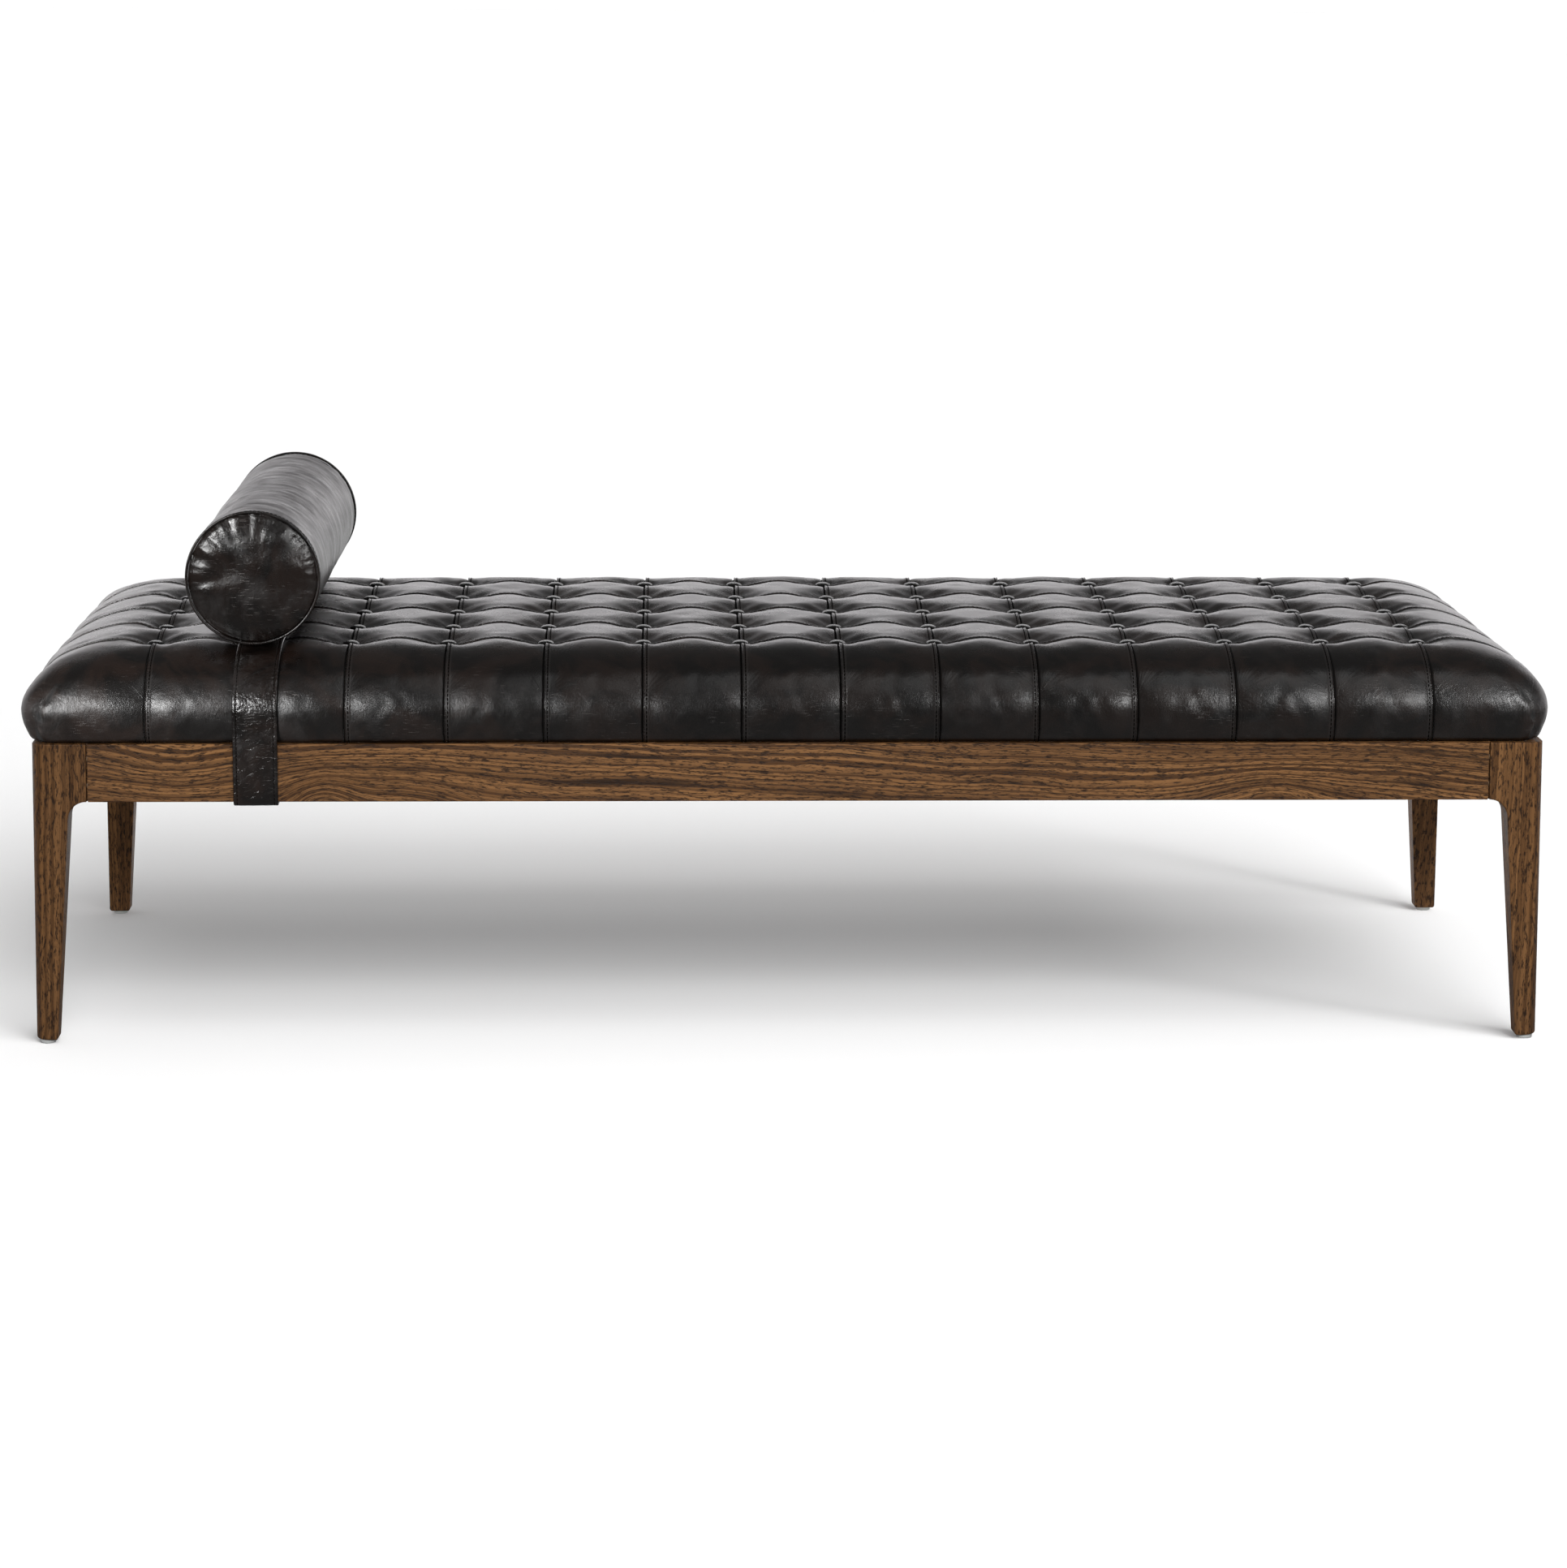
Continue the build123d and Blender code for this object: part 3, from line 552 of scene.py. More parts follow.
def envelope_at(angle):
    """Side inset, height and corner radius of the seat's outline. angle: -90 bottom, 90 degrees top."""
    if angle < 0:
        inset = TUCK * (1 - cos(angle))
        return inset, SEAT_WIDEST + (SEAT_WIDEST - SEAT_BOTTOM) * sin(angle), CORNER - inset * CORNER_TUCK
    inset = SHOULDER * (1 - cos(angle))
    return inset, SEAT_WIDEST + (SEAT_TOP - SEAT_WIDEST) * sin(angle), CORNER + CORNER_GROWTH * sin(angle)


def outline_point(lengths, inset, corner, long_side):
    """Points from a side's middle towards its corner's diagonal, for the +X +Y quarter."""
    half_x, half_y = HALF_X - inset, HALF_Y - inset
    straight = (half_x if long_side else half_y) - corner
    turn = np.clip((lengths - straight) / corner, 0, None)
    along = np.where(lengths < straight, lengths, straight + corner * np.sin(turn))
    out = np.where(lengths < straight, 0.0, corner * (np.cos(turn) - 1))
    if long_side:
        return along, half_y + out
    return half_x + out, along


def side_length(inset, corner, long_side):
    half = (HALF_X if long_side else HALF_Y) - inset
    return half - corner + corner * pi / 4


def spread(line, grid_edge, free_from, total):
    """Lets the lines beyond the last seam spread so that they reach the corner."""
    size = np.abs(line)
    share = np.clip((size - free_from) / (grid_edge - free_from), 0, 1)
    return np.where(size < free_from, size, free_from + share * (total - free_from))


def height_inside(x, y):
    """Height of the envelope above a place inside the grid, by searching for its inset."""
    inset = np.full(x.shape, GRID_INSET)
    for _ in range(60):
        run = np.clip(1 - inset / SHOULDER, 0, 1)
        rise = np.sqrt(1 - run**2)
        corner = CORNER + CORNER_GROWTH * rise
        out_x = np.abs(x) - (HALF_X - inset - corner)
        out_y = np.abs(y) - (HALF_Y - inset - corner)
        outside = np.hypot(np.maximum(out_x, 0), np.maximum(out_y, 0))
        distance = outside + np.minimum(np.maximum(out_x, out_y), 0) - corner
        inset = np.maximum(inset - 0.7 * distance, 0.0)
    run = np.clip(1 - inset / SHOULDER, 0, 1)
    return SEAT_WIDEST + (SEAT_TOP - SEAT_WIDEST) * np.sqrt(1 - run**2)


class SeatNet:
    """The seat cover as one net of points: a grid on top and rings down the border."""

    def __init__(self, near, step, border_step):
        start = np.arccos(1 - GRID_INSET / SHOULDER)
        self.grid_angle = start
        edge_x, edge_y = HALF_X - GRID_INSET, HALF_Y - GRID_INSET
        self.edge_x, self.edge_y = edge_x, edge_y
        self.xs = grid_lines(COLUMNS, edge_x, near, step)
        self.ys = grid_lines(ROWS, edge_y, near, step)
        upper = np.linspace(start, 0, round(0.062 / border_step) + 1)
        lower = np.linspace(0, -pi / 2, round(0.046 / border_step) + 1)[1:]
        self.angles = np.concatenate((upper, lower))
        self.build()

    def grid_points(self):
        """The grid's lines, and where its points lie: patched between the sides beyond the last seams."""
        inset, _, corner = envelope_at(self.grid_angle)
        total_x = side_length(inset, corner, True)
        total_y = side_length(inset, corner, False)
        gx, gy = np.meshgrid(self.xs, self.ys, indexing="ij")
        sx, sy = np.abs(gx), np.abs(gy)
        a = np.clip((sx - FREE_X) / (self.edge_x - FREE_X), 0, 1)
        b = np.clip((sy - FREE_Y) / (self.edge_y - FREE_Y), 0, 1)
        top = outline_point(FREE_X + a * (total_x - FREE_X), inset, corner, True)
        end = outline_point(FREE_Y + b * (total_y - FREE_Y), inset, corner, False)
        last = outline_point(np.array(total_x), inset, corner, True)
        low = (FREE_X + a * (self.edge_x - FREE_X), FREE_Y)
        left = (FREE_X, FREE_Y + b * (self.edge_y - FREE_Y))
        corners = ((FREE_X, FREE_Y), (self.edge_x, FREE_Y), (FREE_X, self.edge_y), last)
        shares = ((1 - a) * (1 - b), a * (1 - b), (1 - a) * b, a * b)
        px, py = (
            (1 - b) * low[k] + b * top[k] + (1 - a) * left[k] + a * end[k]
            - sum(share * corner_point[k] for share, corner_point in zip(shares, corners))
            for k in (0, 1)
        )
        x = np.where(sx > FREE_X, px, sx) * np.sign(gx)
        y = np.where(sy > FREE_Y, py, sy) * np.sign(gy)
        x = np.where(sy <= FREE_Y, gx, x)
        y = np.where(sx <= FREE_X, gy, y)
        return gx, gy, x, y

    def ring_walk(self):
        """Grid boundary as (i, j) pairs, anticlockwise from the -X -Y corner."""
        nx, ny = len(self.xs), len(self.ys)
        walk = [(i, 0) for i in range(nx - 1)]
        walk += [(nx - 1, j) for j in range(ny - 1)]
        walk += [(i, ny - 1) for i in range(nx - 1, 0, -1)]
        walk += [(0, j) for j in range(ny - 1, 0, -1)]
        return walk

    def build(self):
        gx, gy, x, y = self.grid_points()
        nx, ny = gx.shape
        z = height_inside(x, y)
        points = [np.stack((x.ravel(), y.ravel(), z.ravel()), 1)]
        net = [np.stack((gx.ravel(), gy.ravel()), 1)]
        drop = [np.zeros(nx * ny)]
        faces = []
        for i in range(nx - 1):
            for j in range(ny - 1):
                at = i * ny + j
                faces.append((at, at + ny, at + ny + 1, at + 1))
        walk = self.ring_walk()
        boundary = np.array([i * ny + j for i, j in walk])
        line = np.array([(self.xs[i], self.ys[j]) for i, j in walk])
        on_long = np.array([j in (0, ny - 1) for i, j in walk])
        previous = boundary
        count = nx * ny
        travelled = 0.0
        last = envelope_at(self.angles[0])
        for angle in self.angles[1:]:
            inset, height, corner = envelope_at(angle)
            travelled += np.hypot(inset - last[0], height - last[1])
            last = (inset, height)
            total_x = side_length(inset, corner, True)
            total_y = side_length(inset, corner, False)
            along_x = spread(line[:, 0], self.edge_x, FREE_X, total_x)
            along_y = spread(line[:, 1], self.edge_y, FREE_Y, total_y)
            long_x, long_y = outline_point(along_x, inset, corner, True)
            short_x, short_y = outline_point(along_y, inset, corner, False)
            px = np.where(on_long, long_x, short_x) * np.sign(line[:, 0])
            py = np.where(on_long, long_y, short_y) * np.sign(line[:, 1])
            px = np.where(on_long & (line[:, 0] == 0), 0, px)
            py = np.where(~on_long & (line[:, 1] == 0), 0, py)
            points.append(np.stack((px, py, np.full(len(px), height)), 1))
            net.append(line)
            drop.append(np.full(len(px), travelled))
            ring = np.arange(count, count + len(px))
            count += len(px)
            for k in range(len(ring)):
                n = (k + 1) % len(ring)
                faces.append((previous[k], ring[k], ring[n], previous[n]))
            previous = ring
        self.points = np.concatenate(points)
        self.net = np.concatenate(net)
        self.drop = np.concatenate(drop)
        self.on_long = np.concatenate([np.zeros(nx * ny, bool)] + [on_long] * (len(self.angles) - 1))
        self.faces = faces
        self.shape = (nx, ny)
        self.walk = walk
        self.bottom_ring = previous
        self.border = self.drop > 0


def vertex_normals(points, faces):
    quads = np.array(faces)
    first = points[quads[:, 2]] - points[quads[:, 0]]
    second = points[quads[:, 3]] - points[quads[:, 1]]
    flat = np.cross(first, second)
    total = np.zeros_like(points)
    for corner in range(4):
        np.add.at(total, quads[:, corner], flat)
    return total / np.maximum(np.linalg.norm(total, axis=1, keepdims=True), 1e-12)


# ---- Seat: how far the leather lies below its envelope ----
BUTTON_DEPTH = 0.0098
SEAM_DEPTH = 0.0014
TOP_RISE = 0.0019
BORDER_SEAM_DEPTH = 0.0056
BACK_SEAM_DEPTH = 0.0016
CREST_DEPTH = -0.0005
PIT_DEPTH = 0.0022
PIT_RADIUS = 0.0115
EDGE_RUN = 0.044
BUTTON_UNDER_TOP = 0.0017


def to_seam(position, count):
    """Signed distance to the nearest seam of that direction."""
    last = (count - 1) / 2 * PITCH
    nearest = np.clip(np.round(position / PITCH + (count - 1) / 2), 0, count - 1)
    return position - (nearest * PITCH - last)


def panel_share(distance, outside, run=0.075):
    """0 at a seam, 1 in the middle of a panel. run is the distance used outside the last seam."""
    return np.clip(np.abs(distance) / np.where(outside, run, PITCH / 2), 0, 1)


def seat_depth(net):
    """How deep each point lies under the envelope, before the small seam details."""
    line = net.net.copy()
    reach = net.drop
    far_x = np.where(net.border & ~net.on_long, np.abs(line[:, 0]) + reach, np.abs(line[:, 0]))
    far_y = np.where(net.border & net.on_long, np.abs(line[:, 1]) + reach, np.abs(line[:, 1]))
    off_x = np.where(far_x > LAST_COLUMN, far_x - LAST_COLUMN, to_seam(line[:, 0], COLUMNS))
    off_y = np.where(far_y > LAST_ROW, far_y - LAST_ROW, to_seam(line[:, 1], ROWS))
    u = panel_share(off_x, far_x > LAST_COLUMN)
    v = panel_share(off_y, far_y > LAST_ROW)
    sharp = 2.8 - 0.3 * smooth(0.0, 0.05, reach)
    puff_u = 1 - (1 - u) ** sharp
    puff_v = 1 - (1 - v) ** sharp
    rise_u = smooth(0.08, 0.98, panel_share(off_x, far_x > LAST_COLUMN, EDGE_RUN))
    rise_v = smooth(0.08, 0.98, panel_share(off_y, far_y > LAST_ROW, EDGE_RUN))
    down = smooth(0.0, 0.05, reach)
    low = smooth(0.075, 0.105, reach)
    back = smooth(LAST_ROW, LAST_ROW + 0.04, line[:, 1])
    seam = SEAM_DEPTH + (BORDER_SEAM_DEPTH - SEAM_DEPTH) * down - 0.0020 * low
    seam += (BACK_SEAM_DEPTH - SEAM_DEPTH) * back * (1 - down)
    risen = TOP_RISE * (1 - smooth(0.08, 0.30, line[:, 1])) * (1 - down)
    seam -= risen
    along_column = BUTTON_DEPTH - (BUTTON_DEPTH - seam) * rise_v
    along_row = BUTTON_DEPTH - (BUTTON_DEPTH - seam) * rise_u
    depth = along_column * (1 - puff_u) + along_row * (1 - puff_v)
    depth -= BUTTON_DEPTH * (1 - puff_u) * (1 - puff_v)
    crest = CREST_DEPTH + 0.0014 * low - risen
    depth += crest * puff_u * puff_v
    button = np.hypot(off_x, off_y)
    depth += PIT_DEPTH * np.exp(-((button / PIT_RADIUS) ** 2))
    return depth, off_x, off_y


# ---- Seat: blown up by a cloth simulation ----
def spline_matrix(knots, places):
    """Matrix of a natural cubic spline from values at knots to values at places."""
    n = len(knots)
    gap = np.diff(knots)
    system = np.eye(n)
    right = np.zeros((n, n))
    for k in range(1, n - 1):
        system[k, k - 1], system[k, k], system[k, k + 1] = gap[k - 1], 2 * (gap[k - 1] + gap[k]), gap[k]
        right[k, k - 1] = 6 / gap[k - 1]
        right[k, k + 1] = 6 / gap[k]
        right[k, k] = -6 / gap[k - 1] - 6 / gap[k]
    bend = np.linalg.solve(system, right)
    at = np.clip(np.searchsorted(knots, places) - 1, 0, n - 2)
    width = gap[at]
    s = (places - knots[at]) / width
    rows = np.zeros((len(places), n))
    index = np.arange(len(places))
    rows[index, at] += 1 - s
    rows[index, at + 1] += s
    curve = (width**2 / 6)[:, None]
    rows += curve * (((1 - s) ** 3 - (1 - s))[:, None] * bend[at] + (s**3 - s)[:, None] * bend[at + 1])
    return rows


def blown_up(net, depth, frames=20):
    """Normal displacement of a coarse net when the panels are blown up between their seams."""
    normals = vertex_normals(net.points, net.faces)
    start = net.points - normals * depth[:, None]
    thing = new_mesh_object("seat_simulation", start, net.faces)
    pinned = thing.vertex_groups.new(name="sewn")
    line_x = np.abs(to_seam(net.net[:, 0], COLUMNS)) < 0.0005
    line_y = np.abs(to_seam(net.net[:, 1], ROWS)) < 0.0005
    on_seam = np.where(net.border & net.on_long, line_x, np.where(net.border, line_y, line_x | line_y))
    held = on_seam | (net.drop > net.drop.max() - 0.012)
    pinned.add([int(k) for k in np.flatnonzero(held)], 1.0, "REPLACE")
    cloth = thing.modifiers.new("cloth", "CLOTH")
    cloth.settings.quality = 6
    cloth.settings.mass = 0.4
    cloth.settings.tension_stiffness = 25
    cloth.settings.compression_stiffness = 25
    cloth.settings.shear_stiffness = 8
    cloth.settings.bending_stiffness = 0.6
    cloth.settings.shrink_min = -0.012
    cloth.settings.vertex_group_mass = "sewn"
    cloth.settings.use_pressure = True
    cloth.settings.uniform_pressure_force = 9.0
    cloth.settings.effector_weights.gravity = 0.0
    cloth.collision_settings.use_collision = False
    cloth.point_cache.frame_start = 1
    cloth.point_cache.frame_end = frames
    scene = bpy.context.scene
    for number in range(1, frames + 1):
        scene.frame_set(number)
    settled = thing.evaluated_get(bpy.context.evaluated_depsgraph_get())
    moved = np.empty(len(start) * 3)
    settled.data.vertices.foreach_get("co", moved)
    scene.frame_set(1)
    bpy.data.objects.remove(thing)
    return np.sum((moved.reshape(-1, 3) - start) * normals, axis=1)


def carried_over(coarse, fine, values):
    """Values on the coarse net, read off smoothly at the fine net's points."""
    nx, ny = coarse.shape
    to_x = spline_matrix(coarse.xs, fine.xs)
    to_y = spline_matrix(coarse.ys, fine.ys)
    grid = to_x @ values[: nx * ny].reshape(nx, ny) @ to_y.T
    levels = len(coarse.angles)
    rings = np.empty((levels, len(coarse.walk)))
    rings[0] = [values[i * ny + j] for i, j in coarse.walk]
    rings[1:] = values[nx * ny :].reshape(levels - 1, -1)
    down = spline_matrix(-coarse.angles, -fine.angles)
    rings = down @ rings
    closed = np.concatenate((rings, rings[:, :1]), 1)
    pieces = []
    start = 0
    sides = ((nx - 1, to_x), (ny - 1, to_y)) * 2
    for number, (count, matrix) in enumerate(sides):
        part = closed[:, start : start + count + 1]
        if number >= 2:
            part = part[:, ::-1]
        read = part @ matrix.T
        if number >= 2:
            read = read[:, ::-1]
        pieces.append(read[:, :-1])
        start += count
    ring_values = np.concatenate(pieces, 1)
    return np.concatenate((grid.ravel(), ring_values[1:].ravel()))


def stitch_side(column):
    """Columns near the bolster are topstitched on the right of their seam, the others on the left."""
    return np.where(column < RIGHT_STITCHED, 1, -1)


def seam_detail(offset, side):
    """Small cross-section of a seam: groove, folded strip and stitch line. Positive is outwards."""
    d = offset * side * 1000
    groove = -2.4 * np.exp(-((d + 0.3) / 1.0) ** 2)
    strip = 1.6 * smooth(0.3, 1.6, d) * (1 - smooth(5.6, 8.0, d))
    pressed = -0.7 * np.exp(-(((d - STITCH_OFFSET * 1000) / 0.8) ** 2))
    return (groove + strip + pressed) / 1000


def seam_painted_shade(offset, side):
    """Painted shade along a seam: 1 in its groove, less at its stitch holes; negative on the strip, which is
    painted lighter (highlight at its edge, rubbed leather beyond).
    """
    d = offset * side * 1000
    # groove and holes: painted shade; ridge: painted highlight at the strip's edge; strip: lighter rubbed
    # leather
    groove = np.exp(-((d + 0.35) / 1.2) ** 2)
    holes = 0.75 * np.exp(-(((d - STITCH_OFFSET * 1000) / 0.75) ** 2))
    ridge = 0.95 * smooth(0.8, 1.6, d) * (1 - smooth(2.0, 2.8, d))
    strip = 0.40 * smooth(2.0, 3.0, d) * (1 - smooth(6.6, 8.6, d))
    return groove + holes - ridge - strip


FOLD_RADIUS = 0.055
FOLD_REACH = 0.16


def corner_fold(points):
    """A fold at each corner: the long side's leather laps over the end's. Also returns painted shade for the
    fold's groove and painted highlight for its lip.
    """
    x, y, z = np.abs(points[:, 0]), np.abs(points[:, 1]), points[:, 2]
    along = np.arctan2(y - (HALF_Y - FOLD_RADIUS), x - (HALF_X - FOLD_RADIUS)) - pi / 4
    near = (x > HALF_X - FOLD_REACH) & (y > HALF_Y - FOLD_REACH)
    distance = np.where(near, along * FOLD_RADIUS, 1.0)
    beyond_x = np.clip(HALF_X - FOLD_RADIUS - x, 0, None)
    beyond_y = np.clip(HALF_Y - FOLD_RADIUS - y, 0, None)
    distance = distance + beyond_x - beyond_y
    line = 0.009 + 0.029 * np.clip((z - SEAT_BOTTOM) / 0.09, 0, 2) ** 1.6
    s = (distance - line) * 1000
    fade = (1 - smooth(0.440, 0.486, z)) * near
    under = -5.5 * np.exp(np.minimum(s, 0) / 12) * (1 - smooth(-1.6, 1.6, s))
    lip = 1.2 * np.exp(-((s - 3.5) / 3.0) ** 2)
    second = -2.0 * np.exp(-((s + 17.0) / 5.0) ** 2) * smooth(0.40, 0.44, z)
    third = -1.3 * np.exp(-((s - 16.0) / 7.0) ** 2) * smooth(0.42, 0.45, z)
    # painted shade in the fold's groove, painted highlight on the lip beside it
    shade = np.exp(-((s + 1.5) / 2.2) ** 2) - 0.6 * np.exp(-((s - 3.0) / 2.0) ** 2)
    return (under + lip + second + third) / 1000 * fade, shade * fade


SEAM_LINES = (0.0008, 0.0018, 0.0030, 0.0042, 0.0050, 0.0058, 0.0070, 0.0095)
NEAR_SEAM = (*(-line for line in SEAM_LINES[::-1]), 0.0, *SEAM_LINES)
LEFT_END_BULGE = 0.0055
SWELL_SHARE = 0.4
SWELL_LEAST, SWELL_MOST = -0.0006, 0.0009
FLANGE_STEP = 0.0014
ROW_SHARE = 0.7
# Share of the painted ridge highlight and lighter rubbed strip kept on the row seams
ROW_RIDGE_SHARE = 0.5


def stronger(first, second):
    return np.where(np.abs(first) > np.abs(second), first, second)


def make_seat(leather):
    fine = SeatNet(NEAR_SEAM, 0.0058, 0.0036)
    depth, off_x, off_y = seat_depth(fine)
    swell = np.zeros(len(depth))
    coarse = SeatNet((0.0,), 0.0085, 0.0085)
    coarse_depth, _, _ = seat_depth(coarse)
    swell = carried_over(coarse, fine, blown_up(coarse, coarse_depth))
    swell = np.clip(SWELL_SHARE * swell, SWELL_LEAST, SWELL_MOST)
    normals = vertex_normals(fine.points, fine.faces)
    uneven = waves(fine.points, 0.21, 11, 3) * 0.0011 + waves(fine.points, 0.055, 12, 2) * 0.00035
    strapped = 1 - smooth(STRAP_HALF + 0.002, STRAP_HALF + 0.014, np.abs(fine.points[:, 0] - STRAP_X))
    least = 0.0038 * strapped - 0.0032
    depth = depth - swell + uneven * smooth(0.0, 0.03, np.minimum(np.abs(off_x), np.abs(off_y)))

    columns = np.clip(np.round(fine.net[:, 0] / PITCH + (COLUMNS - 1) / 2), 0, COLUMNS - 1)
    side_x = stitch_side(columns)
    near_x = to_seam(fine.net[:, 0], COLUMNS)
    near_y = to_seam(fine.net[:, 1], ROWS)
    has_columns = ~(fine.border & ~fine.on_long)
    has_rows = ~(fine.border & fine.on_long)
    row_detail = ROW_SHARE * seam_detail(near_y, 1) * has_rows
    detail = stronger(seam_detail(near_x, side_x) * has_columns, row_detail)
    # Painted shade and highlight for the seams and corner folds, passed to the leather as the seam attribute
    row_painted_shade = seam_painted_shade(near_y, 1) * has_rows
    row_painted_shade = np.where(row_painted_shade < 0, ROW_RIDGE_SHARE * row_painted_shade, row_painted_shade)
    shade = stronger(seam_painted_shade(near_x, side_x) * has_columns, row_painted_shade)
    fold, fold_painted_shade = corner_fold(fine.points)
    shade = shade + fold_painted_shade
    depth = np.maximum(depth - detail - fold, least)
    near_bottom = 1 - smooth(SEAT_BOTTOM, SEAT_BOTTOM + 0.014, fine.points[:, 2])
    depth = depth * (1 - 0.85 * near_bottom)
    points = fine.points - normals * depth[:, None]
    points[fine.bottom_ring, 2] = SEAT_BOTTOM
    points[:, 0] -= LEFT_END_BULGE * smooth(HALF_X - 0.08, HALF_X - 0.01, -points[:, 0])

    faces = list(fine.faces)
    ring = fine.bottom_ring
    tucked = np.array([HALF_X, HALF_Y]) - TUCK
    inner_scale = (tucked - FLANGE) / tucked
    flange = points[ring].copy()
    flange[:, :2] *= inner_scale
    flange[:, 2] = SEAT_BOTTOM
    cap = flange.copy()
    cap[:, 2] = SEAT_BOTTOM + FLANGE_STEP
    base = len(points)
    count = len(ring)
    for k in range(count):
        n = (k + 1) % count
        faces.append((ring[k], base + k, base + n, ring[n]))
        faces.append((base + k, base + count + k, base + count + n, base + n))
    faces.append(tuple(base + count + k for k in range(count))[::-1])
    seat = new_mesh_object("seat_upholstery", np.concatenate((points, flange, cap)), faces, leather)
    # The seam attribute holds the painted shade and highlight
    store = seat.data.attributes.new("seam", "FLOAT", "POINT")
    store.data.foreach_set("value", np.concatenate((shade, np.zeros(2 * count))))
    return seat, fine, points


# ---- Stitches and buttons, laid out by Geometry Nodes ----
def geometry_group(name, inputs):
    shape = ("Geometry", "NodeSocketGeometry")
    return group(name, ((*shape, None), *inputs), (shape,), "GeometryNodeTree")


def dressed(tree, mesh, material, out):
    """Gives the mesh its material and sends it out of the group."""
    shade = add(tree, "GeometryNodeSetMaterial")
    fill(tree, shade, Geometry=mesh, Material=material)
    wire(tree, shade.outputs["Geometry"], out["Geometry"])
    return tree


def made_real(tree, points, shape, rotation):
    """Sets the shape at every point, turned, and makes the copies real."""
    lay = add(tree, "GeometryNodeInstanceOnPoints")
    fill(tree, lay, Points=points, Instance=shape, Rotation=rotation)
    real = add(tree, "GeometryNodeRealizeInstances")
    wire(tree, lay.outputs["Instances"], real.inputs["Geometry"])
    return real.outputs["Geometry"]


def socket_id(tree, label):
    for item in tree.interface.items_tree:
        if item.item_type == "SOCKET" and item.in_out == "INPUT" and item.name == label:
            return item.identifier
    raise KeyError(label)


def stitching_tree():
    """Lays a short thread at even steps along every line, in the line's direction."""
    tree, inn, out = geometry_group(
        "stitching",
        (
            ("Spacing", "NodeSocketFloat", 0.005),
            ("Thread length", "NodeSocketFloat", 0.0034),
            ("Thread radius", "NodeSocketFloat", 0.0005),
            ("Thread", "NodeSocketMaterial", None),
        ),
    )
    line = add(tree, "GeometryNodeMeshToCurve")
    wire(tree, inn["Geometry"], line.inputs["Mesh"])
    even = add(tree, "GeometryNodeResampleCurve", mode="LENGTH")
    fill(tree, even, Curve=line.outputs["Curve"], Length=inn["Spacing"])
    tangent = add(tree, "GeometryNodeInputTangent")
    aim = add(tree, "FunctionNodeAlignRotationToVector", axis="Z")
    wire(tree, tangent.outputs[0], aim.inputs["Vector"])
    thread = add(tree, "GeometryNodeMeshCylinder", fill_type="TRIANGLE_FAN")
    fill(tree, thread, Vertices=5, Side_Segments=1, Radius=inn["Thread radius"], Depth=inn["Thread length"])
    real = made_real(tree, even.outputs["Curve"], thread.outputs["Mesh"], aim.outputs[0])
    return dressed(tree, real, inn["Thread"], out)


def seam_tube_tree():
    """Lays one thin unbroken tube along every line."""
    tree, inn, out = geometry_group(
        "seam tube", (("Tube radius", "NodeSocketFloat", 0.001), ("Skin", "NodeSocketMaterial", None))
    )
    line = add(tree, "GeometryNodeMeshToCurve")
    wire(tree, inn["Geometry"], line.inputs["Mesh"])
    ring = add(tree, "GeometryNodeCurvePrimitiveCircle")
    fill(tree, ring, Resolution=6, Radius=inn["Tube radius"])
    sweep = add(tree, "GeometryNodeCurveToMesh")
    fill(tree, sweep, Curve=line.outputs["Curve"], Profile_Curve=ring.outputs["Curve"], Fill_Caps=True)
    return dressed(tree, sweep.outputs["Mesh"], inn["Skin"], out)


def made_by_nodes(name, points, edges, tree, settings):
    """Runs a Geometry Nodes tree on points and edges and keeps the result as a plain mesh."""
    seed_mesh = bpy.data.meshes.new(name + "_lines")
    seed_mesh.from_pydata([tuple(p) for p in points], edges, [])
    seed = bpy.data.objects.new(name + "_lines", seed_mesh)
    bpy.context.scene.collection.objects.link(seed)
    modifier = seed.modifiers.new("laid out", "NODES")
    modifier.node_group = tree
    for label, value in settings.items():
        modifier[socket_id(tree, label)] = value
    bpy.context.view_layer.update()
    evaluated = seed.evaluated_get(bpy.context.evaluated_depsgraph_get())
    mesh = bpy.data.meshes.new_from_object(evaluated)
    mesh.name = name
    bpy.data.objects.remove(seed)
    thing = bpy.data.objects.new(name, mesh)
    bpy.context.scene.collection.objects.link(thing)
    return thing


def joined_lines(paths):
    points, edges = [], []
    for path in paths:
        base = len(points)
        points.extend(path)
        edges.extend((base + k, base + k + 1) for k in range(len(path) - 1))
    return points, edges


def stitched(name, paths, tree, thread, spacing=0.005, length=0.0034, radius=0.0005):
    points, edges = joined_lines(paths)
    settings = {"Spacing": spacing, "Thread length": length, "Thread radius": radius, "Thread": thread}
    return made_by_nodes(name, points, edges, tree, settings)


def seat_seam_paths(net, points, beside):
    """Lines a distance beside the seams, each from one bottom edge over the top to the other."""
    nx, ny = net.shape
    walk_at = {pair: k for k, pair in enumerate(net.walk)}
    rings = len(net.angles) - 1
    per_ring = len(net.walk)

    def down_from(pair):
        return [nx * ny + level * per_ring + walk_at[pair] for level in range(rings)]

    def line_index(lines, place):
        return int(np.argmin(np.abs(lines - place)))

    paths = []
    for column, place in enumerate(seam_places(COLUMNS)):
        i = line_index(net.xs, place + stitch_side(column) * beside)
        chain = down_from((i, 0))[::-1] + [i * ny + j for j in range(ny)] + down_from((i, ny - 1))
        paths.append(points[chain])
    for place in seam_places(ROWS):
        j = line_index(net.ys, place + beside)
        chain = down_from((0, j))[::-1] + [i * ny + j for i in range(nx)] + down_from((nx - 1, j))
        paths.append(points[chain])
    return paths


